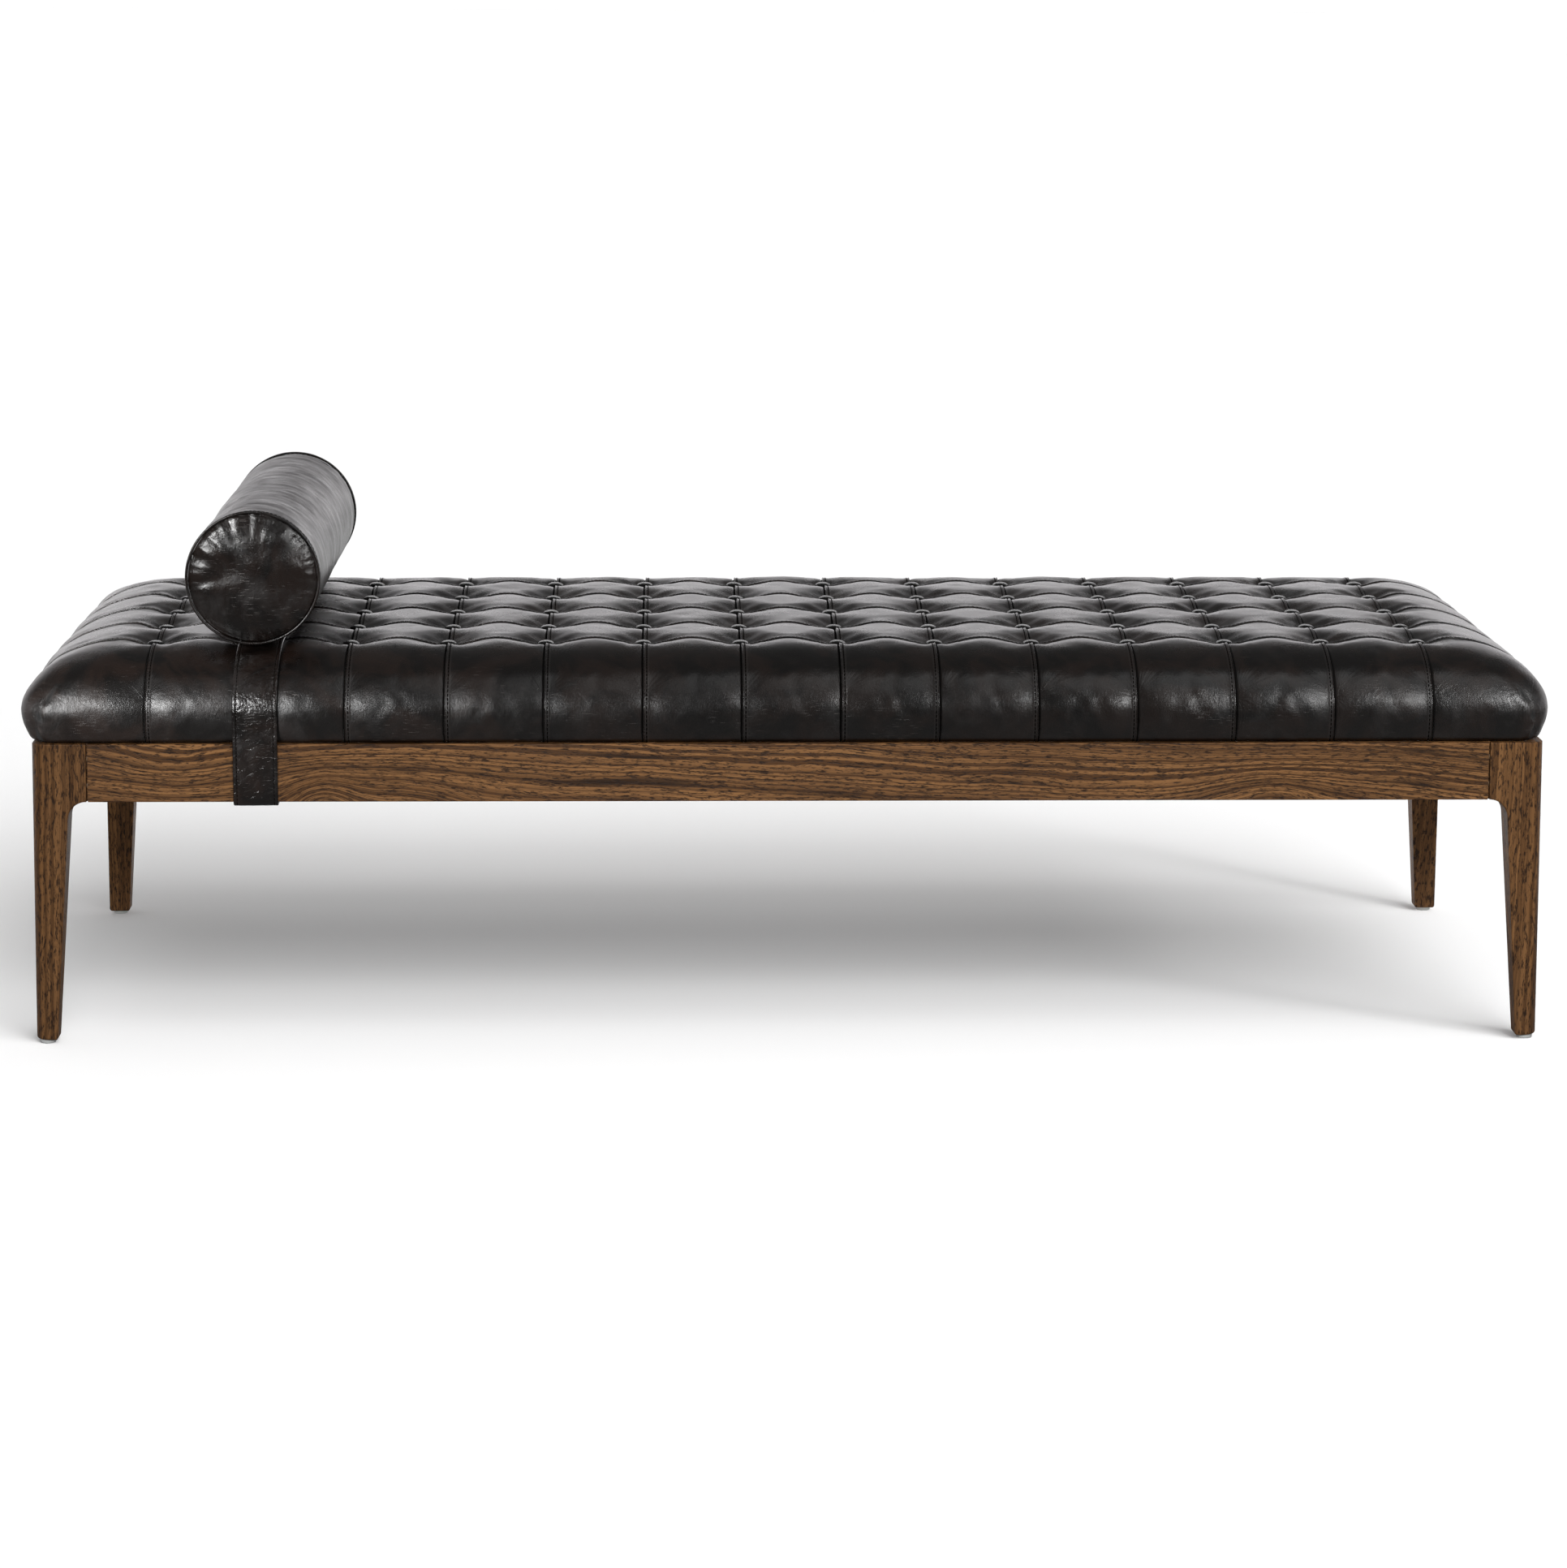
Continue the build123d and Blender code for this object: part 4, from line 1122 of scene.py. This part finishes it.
def button_tree():
    """Sets a covered button at each point, every one turned its own way."""
    tree, inn, out = geometry_group(
        "buttons",
        (
            ("Button", "NodeSocketObject", None),
            ("Seed", "NodeSocketInt", 3),
            ("Leather", "NodeSocketMaterial", None),
        ),
    )
    spots = add(tree, "GeometryNodeMeshToPoints")
    wire(tree, inn["Geometry"], spots.inputs["Mesh"])
    shape = add(tree, "GeometryNodeObjectInfo")
    wire(tree, inn["Button"], shape.inputs["Object"])
    turn = add(tree, "FunctionNodeRandomValue", data_type="FLOAT_VECTOR")
    fill(tree, turn, Min=(-0.05, -0.05, 0.0), Max=(0.05, 0.05, 2 * pi), Seed=inn["Seed"])
    real = made_real(tree, spots.outputs[0], shape.outputs["Geometry"], turn.outputs[0])
    return dressed(tree, real, inn["Leather"], out)


def round_net(stations, count):
    """A closed body of revolution about the Y axis. stations are (radius, y), poles included."""
    angles = np.linspace(0, 2 * pi, count, endpoint=False)
    points = []
    for radius, y in stations[1:-1]:
        ring = np.stack((radius * np.cos(angles), np.full(count, y), radius * np.sin(angles)), 1)
        points.append(ring)
    points = np.concatenate(points + [np.array([[0, stations[0][1], 0], [0, stations[-1][1], 0]])])
    rings = len(stations) - 2
    faces = []
    for level in range(rings - 1):
        for k in range(count):
            n = (k + 1) % count
            a, b = level * count, (level + 1) * count
            faces.append((a + k, b + k, b + n, a + n))
    start, end = rings * count, rings * count + 1
    last = (rings - 1) * count
    for k in range(count):
        n = (k + 1) % count
        faces.append((start, k, n))
        faces.append((end, last + n, last + k))
    return points, faces


def make_buttons(leather):
    radius = 0.0112
    rim = 0.0055
    dome = 0.0052
    profile = [(0, 0), (radius * 0.9, 0)]
    profile += [(radius, rim * 0.4), (radius, rim)]
    profile += [(radius * cos(t), rim + dome * sin(t)) for t in np.linspace(0.2, 1.45, 8)]
    profile += [(0, rim + dome)]
    points, faces = round_net(profile, 24)
    points = points[:, [0, 2, 1]]
    angle = np.arctan2(points[:, 1], points[:, 0])
    size = np.hypot(points[:, 0], points[:, 1]) / radius
    points[:, 2] += 0.00025 * np.sin(angle * 7) * size**3 * (points[:, 2] > rim * 0.5)
    pattern = outward(new_mesh_object("button_pattern", points, faces, leather))
    pocket = SEAT_TOP - BUTTON_UNDER_TOP - rim - dome
    spots = [(x, y, pocket) for x in seam_places(COLUMNS) for y in seam_places(ROWS)]
    settings = {"Button": pattern, "Seed": 3, "Leather": leather}
    buttons = made_by_nodes("covered_buttons", spots, [], button_tree(), settings)
    bpy.data.objects.remove(pattern)
    return buttons


# ---- Bolster ----
AXIS_X = (tube_low[0] + tube_high[0]) / 2
AXIS_Z = (tube_low[2] + tube_high[2]) / 2
TUBE_RADIUS = (tube_high[0] - tube_low[0]) / 2
TUBE_END = tube_high[1]
CAP_RADIUS = (cap_high[0] - cap_low[0]) / 2
CAP_TIP = -cap_low[1]
CAP_SWELL = 0.005
CAP_WALL = 0.0022


def make_bolster_tube(leather):
    ends = np.array([0.0, 0.0006, 0.002, 0.004, 0.007, 0.011, 0.016, 0.022, 0.03])
    middle = np.linspace(-TUBE_END + 0.03, TUBE_END - 0.03, 70)[1:-1]
    along = np.concatenate((-TUBE_END + ends, middle, (TUBE_END - ends)[::-1]))
    stations = [(0, -TUBE_END)] + [(TUBE_RADIUS * 0.6, -TUBE_END)]
    stations += [(TUBE_RADIUS, y) for y in along]
    stations += [(TUBE_RADIUS * 0.6, TUBE_END), (0, TUBE_END)]
    points, faces = round_net(stations, 192)
    radius = np.hypot(points[:, 0], points[:, 2])
    angle = np.arctan2(points[:, 2], points[:, 0])
    wall = radius > TUBE_RADIUS * 0.9
    from_end = TUBE_END - np.abs(points[:, 1])
    tucked = 0.0030 * np.exp(-from_end / 0.0035)
    pucker_place = np.stack((np.cos(angle) * 0.6, np.sin(angle) * 0.6, np.sign(points[:, 1]) * 3), 1)
    puckers = 0.0011 * np.exp(-from_end / 0.016) * (1 + waves(pucker_place, 0.16, 21, 2))
    slack = 0.0007 * (1 + waves(points * (1, 0.5, 1), 0.10, 22, 3))
    stretch = 0.0005 * (1 + waves(points * (1, 4, 1), 0.09, 23, 2))
    shrink = np.where(wall, tucked + puckers + slack + stretch, 0)
    scale = np.where(wall, (radius - shrink) / np.maximum(radius, 1e-9), 1)
    points[:, 0] *= scale
    points[:, 2] *= scale
    points += (AXIS_X, 0, AXIS_Z)
    return outward(new_mesh_object("bolster_roll", points, faces, leather))


def make_bolster_cap(name, face, leather):
    flat = TUBE_END
    rise = CAP_TIP - flat + CAP_SWELL
    levels = np.concatenate((np.linspace(0.03, 0.86, 26), np.linspace(0.88, 1.0, 12)))
    stations = [(0, CAP_TIP + CAP_SWELL)]
    for share in levels:
        edge = (1 - share**2.7) ** 0.62
        stations.append((CAP_RADIUS * share, flat + rise * edge))
    stations += [(CAP_RADIUS * share, flat - CAP_WALL) for share in (1, 0.5, 0)]
    stations = [(r, -y) for r, y in stations]
    points, faces = round_net(stations, 160)
    radius = np.hypot(points[:, 0], points[:, 2])
    angle = np.arctan2(points[:, 2], points[:, 0])
    share = np.clip(radius / CAP_RADIUS, 0, 1)
    front = points[:, 1] < -flat
    rim = smooth(0.45, 1.0, share) * (1 - smooth(0.985, 1.0, share))
    spokes = np.stack((np.cos(angle), np.sin(angle), np.zeros(len(angle)) + face), 1)
    tension = waves(spokes * 0.5, 0.20, 31 + face, 3) * 0.0016 * rim
    patch = 0.35 + 0.65 * smooth(-0.2, 0.9, np.cos(angle - 1.9))
    patch += 0.4 * smooth(0.6, 1.0, np.cos(angle + 0.1))
    soft = waves(points, 0.075, 33 + face, 3) * 0.0016 * (1 - smooth(0.9, 1.0, share))
    turn = 38 * angle + 5 * waves(spokes * 0.5, 0.3, 35 + face, 2)
    pleats = 0.00045 * (1 + np.sin(turn)) * smooth(0.74, 0.94, share) * (1 - smooth(0.98, 1.0, share))
    points[:, 1] += np.where(front, tension * patch + soft + pleats, 0)
    points[:, 1] = np.maximum(points[:, 1], -CAP_TIP - CAP_SWELL - 0.001)
    points[:, 1] *= -face
    points += (AXIS_X, 0, AXIS_Z)
    return outward(new_mesh_object(name, points, faces, leather))


def ring_path(radius, y, count=240):
    angles = np.linspace(0, 2 * pi, count + 1)
    x, z = AXIS_X + radius * np.cos(angles), AXIS_Z + radius * np.sin(angles)
    return np.stack((x, np.full(count + 1, y), z), 1)


# ---- Strap ----
STRAP_X = (strap_low[0] + strap_high[0]) / 2
STRAP_HALF = (strap_high[0] - strap_low[0]) / 2
STRAP_THICKNESS = 0.0029
STRAP_GAP = 0.0004
STRAP_END = 0.292
STRAP_STITCH = 0.0048
STRAP_EDGE = 0.0009
STRAP_MIDDLE = (0.0, 0.45)
RAIL_FACE = 0.3826
RAIL_BEND = 0.0035


def strap_route():
    """The strap's inner face in (y, z) from its front end, under the rail, over the seat and back."""
    under = strap_low[2] + STRAP_THICKNESS
    turn = RAIL_FACE - RAIL_BEND
    half = [(-y, under) for y in np.linspace(STRAP_END, turn, 16)]
    for t in np.linspace(0.2, pi / 2, 6):
        half.append((-(turn + RAIL_BEND * sin(t)), under + RAIL_BEND * (1 - cos(t))))
    widest = HALF_Y + STRAP_GAP
    low_z, high_z = under + RAIL_BEND, SEAT_WIDEST
    for share in np.linspace(0, 1, 24)[1:-1]:
        y = RAIL_FACE + (widest - RAIL_FACE) * share
        half.append((-y, low_z + (high_z - low_z) * share))
    upper = SEAT_TOP - SEAT_WIDEST
    for t in np.linspace(0, pi / 2, 46):
        normal = Vector((cos(t) / SHOULDER, sin(t) / upper)).normalized()
        y = HALF_Y - SHOULDER * (1 - cos(t)) + STRAP_GAP * normal.x
        half.append((-y, SEAT_WIDEST + upper * sin(t) + STRAP_GAP * normal.y))
    half += [(-y, SEAT_TOP + STRAP_GAP) for y in np.linspace(0.26, 0, 40)]
    return np.array(half + [(-y, z) for y, z in half[-2::-1]])


def strap_normals(route):
    """Directions out of the strap's loop, square to its route."""
    along = np.gradient(route, axis=0)
    along /= np.linalg.norm(along, axis=1, keepdims=True)
    normals = np.stack((-along[:, 1], along[:, 0]), 1)
    return normals * np.sign(np.sum(normals * (route - STRAP_MIDDLE), axis=1))[:, None]


def strap_section():
    """The strap's outline in (x, thickness), pressed in along its stitching."""
    half, thick = STRAP_HALF, STRAP_THICKNESS
    stitch = half - STRAP_STITCH
    beside = ((0.0013, 0), (0.0004, -0.00015), (0, -0.0006), (-0.0004, -0.00015), (-0.0014, 0.0001))
    upper = [(-half + STRAP_EDGE, thick)] + [(-stitch - out, thick + rise) for out, rise in beside]
    reach = stitch - 0.004
    section = [(-half, STRAP_EDGE), (-half, thick - STRAP_EDGE)] + upper
    section += [(x, thick + 0.0002) for x in np.linspace(-reach, reach, 16)]
    section += [(-x, z) for x, z in upper[::-1]] + [(half, thick - STRAP_EDGE), (half, STRAP_EDGE)]
    section += [(half - STRAP_EDGE, 0.0), (0.0, 0.0), (-half + STRAP_EDGE, 0.0)]
    return np.array(section)


def loft(rows, count):
    """Faces of a closed tube of rows, each a ring of count points, with its two ends."""
    faces = []
    for row in range(rows - 1):
        low, high = row * count, (row + 1) * count
        faces += [(low + k, low + (k + 1) % count, high + (k + 1) % count, high + k) for k in range(count)]
    faces.append(tuple(range(count)))
    faces.append(tuple((rows - 1) * count + k for k in range(count))[::-1])
    return faces


def make_strap(leather):
    route = strap_route()
    normals = strap_normals(route)
    section = strap_section()
    count = len(section)
    rows = len(route)
    points = np.empty((rows, count, 3))
    points[:, :, 0] = STRAP_X + section[None, :, 0]
    points[:, :, 1] = route[:, None, 0] + normals[:, None, 0] * section[None, :, 1]
    points[:, :, 2] = route[:, None, 1] + normals[:, None, 1] * section[None, :, 1]
    outer = section[:, 1] > STRAP_THICKNESS * 0.5
    flat = points.reshape(-1, 3)
    bumps = waves(flat * (1, 0.6, 0.6), 0.03, 41, 3).reshape(rows, count) * 0.0004 + 0.0002
    bumps *= outer[None, :]
    points[:, :, 1] += normals[:, None, 0] * bumps
    points[:, :, 2] += normals[:, None, 1] * bumps
    shape = new_mesh_object("leather_strap", points.reshape(-1, 3), loft(rows, count), leather)
    strap = outward(shape)
    lifted = np.stack((np.zeros(rows), normals[:, 0], normals[:, 1]), 1) * 0.0002
    paths = []
    for side in (-1, 1):
        beside = np.abs(section[:, 0] - side * (STRAP_HALF - STRAP_STITCH))
        column = int(np.argmin(beside + ~outer))
        paths.append(points[:, column] + lifted)
    return strap, paths


def make_web(material):
    """Webbing under the frame between the strap's two ends, slightly slack in the middle."""
    half = (web_high[0] - web_low[0]) / 2
    middle = (web_high[0] + web_low[0]) / 2
    reach = web_high[1]
    thick = web_high[2] - web_low[2]
    ys = np.linspace(-reach, reach, 90)
    sag = 0.007 * np.clip(1 - (ys / 0.29) ** 2, 0, None) ** 1.2
    xs = np.linspace(-half, half, 13)
    edge = 1 - 0.35 * (np.abs(xs) / half) ** 6
    around = [(x, e) for x, e in zip(xs, edge)] + [(x, -e) for x, e in zip(xs[::-1], edge[::-1])]
    points = []
    for y, low in zip(ys, sag):
        points += [(middle + x, y, web_high[2] - thick / 2 - low + thick / 2 * e) for x, e in around]
    return outward(new_mesh_object("under_webbing", points, loft(len(ys), len(around)), material))


CROSS_RAIL_HALF = 0.034
CLOTH_SAG = 0.0028


def make_dust_cloth(material):
    """Black cloth pulled tight under the seat, sagging a little between the cross rails."""
    half_x, half_y = cloth_high[0], cloth_high[1]
    rails = [sum(c[0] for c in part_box(f"cross_rail_{k}")) / 2 for k in range(1, 7)]
    xs = np.linspace(-half_x, half_x, 200)
    ys = np.linspace(-half_y, half_y, 70)
    stops = [-half_x] + rails + [half_x]
    points, faces = [], []
    for x in xs:
        k = min(max(int(np.searchsorted(stops, x)), 1), len(stops) - 1)
        left = stops[k - 1] + (CROSS_RAIL_HALF if k > 1 else 0)
        right = stops[k] - (CROSS_RAIL_HALF if k < len(stops) - 1 else 0)
        share = np.clip((x - left) / (right - left), 0, 1)
        hang = sin(pi * share) ** 1.3 * min(1.0, (right - left) / 0.3)
        for y in ys:
            edge = max(0.0, 1 - (abs(y) / half_y) ** 8)
            points.append((x, y, cloth_low[2] - CLOTH_SAG * hang * edge))
    rows = len(ys)
    for i in range(len(xs) - 1):
        for j in range(rows - 1):
            at = i * rows + j
            faces.append((at, at + 1, at + rows + 1, at + rows))
    cloth = new_mesh_object("dust_cloth", points, faces, material)
    wall = cloth.modifiers.new("thickness", "SOLIDIFY")
    wall.thickness = cloth_high[2] - cloth_low[2]
    wall.offset = -1.0
    return cloth


# ---- Finish the CAD nodes ----
def finish_node(name, material):
    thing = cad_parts[name]
    for slot in thing.material_slots:
        slot.material = material
    if not thing.material_slots:
        thing.data.materials.append(material)


def finish_wood():
    quarter = pi / 2
    low = rail_low[2]
    front_branches = (
        ((-0.600, 0, low - 0.002), (0.040, 1, 0.034), 0.044),
        ((-0.520, 0, low + 0.010), (0.110, 1, 0.060), 0.026),
        ((-0.800, 0, low + 0.050), (0.070, 1, 0.050), -0.016),
        ((0.615, 0, low + 0.004), (0.080, 1, 0.042), 0.040),
        ((0.760, 0, low + 0.020), (0.120, 1, 0.050), 0.018),
    )
    lengthwise, sideways = (0, 0, 0), (0, 0, quarter)
    front = (lengthwise, (0, 0, 0), 0.0056, 0.03, 0.45, 0.018, 0.85, 0.68, 1.0, front_branches, 0.8)
    boards = {
        "front": front,
        "back": (lengthwise, (2.2, 0.4, 0.1), 0.0070, 0.040, 0.05, 0.022, 0.6),
        "left": (sideways, (0.2, 1.9, 0.3), 0.0066, 0.05, 0.04, 0.020, 0.5),
        "right": (sideways, (1.4, 0.6, 0.2), 0.0066, 0.05, 0.06, 0.020, 0.6),
    }
    for place, board in boards.items():
        finish_node(f"rail_{place}", walnut(f"walnut {place} rail", *board))
    spots = {
        "front_left": (0.1, 0.2, 0.7),
        "front_right": (0.9, 0.5, 0.2),
        "back_left": (1.7, 0.1, 0.5),
        "back_right": (0.6, 0.4, 0.3),
    }
    for place, spot in spots.items():
        warmth = 0.72 if place == "front_left" else 0.86
        upright = ((0, quarter, 0), spot, 0.0075, 0.03, 0.08, 0.012, 0.15, 0.3, warmth, (), 0.5)
        finish_node(f"leg_{place}", walnut(f"walnut leg {place}", *upright))
        finish_node(f"glide_{place}", NYLON)
    # Ledgers and cross rails stained near-black: a dark stain standing in for painted shade in the gap under
    # the seat
    gap_shade_pine = softwood("stained pine", (0.060, 0.036, 0.020), (0.028, 0.016, 0.010), lengthwise)
    across = ((0.055, 0.033, 0.019), (0.026, 0.015, 0.009), sideways)
    gap_shade_pine_across = softwood("stained pine across", *across)
    ply = softwood("plywood", (0.50, 0.38, 0.24), (0.38, 0.26, 0.15), lengthwise)
    beech = softwood("beech", (0.46, 0.30, 0.18), (0.36, 0.22, 0.12), lengthwise)
    for node in ("ledger_front", "ledger_back"):
        finish_node(node, gap_shade_pine)
    for number in range(1, 7):
        finish_node(f"cross_rail_{number}", gap_shade_pine_across)
    finish_node("seat_board", ply)
    finish_node("rail_dowels", beech)


def finish_small_parts():
    zinc = metal("zinc steel", (0.55, 0.55, 0.56), 0.32)
    screws = ("ledger_screws", "cross_rail_screws", "seat_board_screws")
    for node in (*screws, "glide_nails", "cover_staples", "twine_washers"):
        finish_node(node, zinc)
    finish_node("strap_snaps", metal("dark nickel", (0.30, 0.29, 0.28), 0.28))
    finish_node("tuft_twines", woven("waxed twine", (0.10, 0.08, 0.06), (0.22, 0.19, 0.15), 900))


# ---- Build the object ----
NYLON = white_nylon()
finish_wood()
finish_small_parts()

seat_leather = espresso_leather("espresso leather seat", 1.0, 0.25, 0.38, 0.30, tufted=True)
bolster_leather = espresso_leather("espresso leather bolster", 1.3, 0.30, 0.4, 0.15, banded=True)
cap_leather = espresso_leather("espresso leather bolster ends", 1.6, 0.23, 0.26, 0.45)
strap_leather = espresso_leather("espresso leather strap", 1.2, 0.19, 0.5, 1.3)
button_leather = espresso_leather("espresso leather button", 0.7, 0.20, 0.15, 0.1)
piping_leather = espresso_leather("espresso leather piping", 1.6, 0.26, 0.3, 0.2)
thread = thread_black("black thread")
black_cloth = woven("black cloth", (0.008, 0.008, 0.008), (0.020, 0.020, 0.020), 900, 0.9)
webbing = woven("black webbing", (0.010, 0.010, 0.010), (0.030, 0.030, 0.030), 500, 0.75)
STITCHING = stitching_tree()

seat, seat_net, seat_points = make_seat(seat_leather)
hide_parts("seat_cover", "seat_foam", "seat_wadding")
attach(seat, "frame")

stitch_lines = seat_seam_paths(seat_net, seat_points, STITCH_OFFSET)
seat_thread = stitched("seat_stitches", stitch_lines, STITCHING, thread, 0.0056, 0.0036, 0.0008)
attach(seat_thread, "frame")
# A black tube in every seam's groove: a dark piece standing in for painted shade in the groove
joined = joined_lines(seat_seam_paths(seat_net, seat_points, 0.0))
seam_tube = seam_tube_tree()
seam_shade_look = {"Tube radius": 0.0010, "Skin": thread}
seam_shade_tubes = made_by_nodes("seat_seam_threads", *joined, seam_tube, seam_shade_look)
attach(seam_shade_tubes, "frame")
joined = joined_lines(seat_seam_paths(seat_net, seat_points, 0.0022))
# The ridge tubes' leather is more rubbed and so lighter: partly wear, partly painted highlight along each
# ridge
ridge_rubbed_lit_skin = espresso_leather("espresso leather ridge", 1.8, 0.24, 0.3, 0.2)
ridge_look = {"Tube radius": 0.0009, "Skin": ridge_rubbed_lit_skin}
seat_ridges = made_by_nodes("seat_seam_ridges", *joined, seam_tube, ridge_look)
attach(seat_ridges, "frame")

buttons = make_buttons(button_leather)
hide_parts("tuft_buttons")
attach(buttons, "frame")

dust_cloth = make_dust_cloth(black_cloth)
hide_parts("dust_cover")
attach(dust_cloth, "frame")

roll = make_bolster_tube(bolster_leather)
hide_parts("bolster_cover", "bolster_core")
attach(roll, "bolster")
caps = []
for face_name, face in (("front", -1), ("back", 1)):
    cap = make_bolster_cap(f"bolster_end_{face_name}", face, cap_leather)
    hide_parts(f"bolster_cap_{face_name}")
    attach(cap, "bolster")
    caps.append(cap)
    finish_node(f"bolster_piping_{face_name}", piping_leather)
rings = [ring_path(TUBE_RADIUS - 0.0010, side * (TUBE_END - 0.0062)) for side in (-1, 1)]
roll_thread = stitched("bolster_stitches", rings, STITCHING, thread, 0.0055, 0.0036, 0.00045)
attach(roll_thread, "bolster")

strap, strap_paths = make_strap(strap_leather)
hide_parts("strap_upper")
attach(strap, "bolster")
strap_thread = stitched("strap_stitches", strap_paths, STITCHING, thread, 0.0052, 0.0034, 0.0006)
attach(strap_thread, "bolster")
web = make_web(webbing)
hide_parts("strap_under_web")
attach(web, "bolster")


# ---- Studio ----
FLOOR_NEAR = (0.16, 0.16, 0.16)
FLOOR_FAR = (0.08, 0.08, 0.08)
WALL_WHITE = (1.53, 1.49, 1.52)
WALL_DARK = (0.11, 0.11, 0.11)


def make_floor():
    half = 200.0
    points = [(-half, -half, 0), (half, -half, 0), (half, half, 0), (-half, half, 0)]
    material, tree, shader, where = new_material("pale floor")
    tone = noise(tree, where, 0.8, 2.0)
    bright = mixed(tree, tone, (0.87, 0.87, 0.87), (0.88, 0.88, 0.88))
    in_front = mixed(tree, remap(tree, length(tree, where), 1.0, 2.6), FLOOR_NEAR, FLOOR_FAR)
    for_things = mixed(tree, remap(tree, apart(tree, where)[1], 0.0, 0.8), in_front, bright)
    path = add(tree, "ShaderNodeLightPath")
    shade = mixed(tree, path.outputs["Is Camera Ray"], for_things, bright)
    fill(tree, shader, Base_Color=shade, Roughness=0.9, Specular_IOR_Level=0.0)
    floor = new_mesh_object("studio_floor", points, [(0, 1, 2, 3)], material)
    return floor


def add_light(name, lamp, place, target):
    thing = bpy.data.objects.new(name, lamp)
    thing.location = place
    thing.rotation_euler = (Vector(target) - Vector(place)).to_track_quat("-Z", "Y").to_euler()
    bpy.context.scene.collection.objects.link(thing)
    return thing


def lit_only(thing, receivers):
    """Lets a light fall on the given things alone."""
    only = bpy.data.collections.new(thing.name + " reaches")
    for receiver in receivers:
        only.objects.link(receiver)
    thing.light_linking.receiver_collection = only


def softbox(name, place, target, width, height, power, receivers=(), spread=180):
    lamp = bpy.data.lights.new(name, "AREA")
    lamp.shape = "RECTANGLE"
    lamp.size = width
    lamp.size_y = height
    lamp.energy = power
    lamp.spread = radians(spread)
    thing = add_light(name, lamp, place, target)
    if receivers:
        lit_only(thing, receivers)


def floor_light(name, place, strength, softness, floor, shadow=True):
    """A broad light that falls only on the floor, where the daybed may cast its shadow."""
    lamp = bpy.data.lights.new(name, "SUN")
    lamp.energy = strength
    lamp.angle = softness
    lamp.use_shadow = shadow
    lit_only(add_light(name, lamp, place, (0, 0, 0)), [floor])


def make_world():
    """Studio walls: white behind the daybed, dark above it and in front."""
    world = bpy.data.worlds.new("studio")
    bpy.context.scene.world = world
    world.use_nodes = True
    tree = world.node_tree
    back = tree.nodes["Background"]
    where = add(tree, "ShaderNodeTexCoord")
    _, behind, above = apart(tree, where.outputs["Generated"])
    high = remap(tree, above, 0.11, 0.47)
    front = remap(tree, behind, -0.45, 0.25, 1.0, 0.0)
    dim = maths(tree, "MAXIMUM", high, front)
    fill(tree, back, Color=mixed(tree, dim, WALL_WHITE, WALL_DARK), Strength=1.0)


def make_camera():
    yaw, pitch, roll = 0.0291, 0.1229, 0.0040
    forward = Vector((sin(yaw) * cos(pitch), cos(yaw) * cos(pitch), -sin(pitch)))
    flat_right = Vector((cos(yaw), -sin(yaw), 0))
    flat_up = flat_right.cross(forward)
    right = cos(roll) * flat_right + sin(roll) * flat_up
    up = -sin(roll) * flat_right + cos(roll) * flat_up
    lens = bpy.data.cameras.new("camera")
    lens.sensor_width = 36.0
    lens.lens = 96.73
    lens.shift_y = -0.2
    lens.clip_end = 100.0
    camera = bpy.data.objects.new("camera", lens)
    turn = Matrix((right, up, -forward)).transposed()
    camera.matrix_world = Matrix.Translation((-0.1663, -5.6957, 1.4014)) @ turn.to_4x4()
    bpy.context.scene.collection.objects.link(camera)
    bpy.context.scene.camera = camera


studio_floor = make_floor()
make_world()
leather_pieces = [seat, roll, strap, seat_thread, seam_shade_tubes, seat_ridges, roll_thread, strap_thread]
end_pieces = [*caps, *(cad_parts[f"bolster_piping_{face}"] for face in ("front", "back"))]
hard_pieces = [thing for name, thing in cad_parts.items() if "piping" not in name]
softbox("sheen left", (-1.95, -2.4, 1.15), (-1.3, -0.39, 0.45), 0.9, 0.8, 12, leather_pieces, 56)
softbox("sheen right", (2.6, -2.9, 2.1), (1.3, -0.39, 0.45), 0.7, 0.6, 14, leather_pieces, 66)
softbox("end sheen left", (-2.1, -2.4, 1.45), (-0.7, -0.32, 0.6), 0.6, 0.45, 50, end_pieces)
softbox("end sheen right", (0.9, -2.6, 1.5), (-0.7, -0.32, 0.6), 0.40, 0.40, 20, end_pieces)
softbox("sheen above", (0.9, -1.3, 3.2), (0.6, 0, 0.45), 2.4, 0.9, 8, leather_pieces + end_pieces)
softbox("button sheen", (0.3, 2.2, 1.9), (0, 0, 0.5), 3.5, 0.5, 16, [buttons])
softbox("front fill", (0, -5.5, 2.8), (0, 0, 0.3), 4.0, 1.6, 200, hard_pieces)
floor_light("floor light", (1.7, -2.6, 3.0), 1.80, 1.0, studio_floor)
floor_light("floor light behind", (1.5, -3.3, 1.5), 2.35, 0.8, studio_floor)
floor_light("floor fill", (0, 0, 3), 0.93, 1.0, studio_floor, False)
softbox("floor right", (2.7, -1.7, 1.5), (0.8, 0, 0), 0.4, 0.4, 18, [studio_floor])
make_camera()
bpy.context.scene.view_settings.view_transform = "Standard"
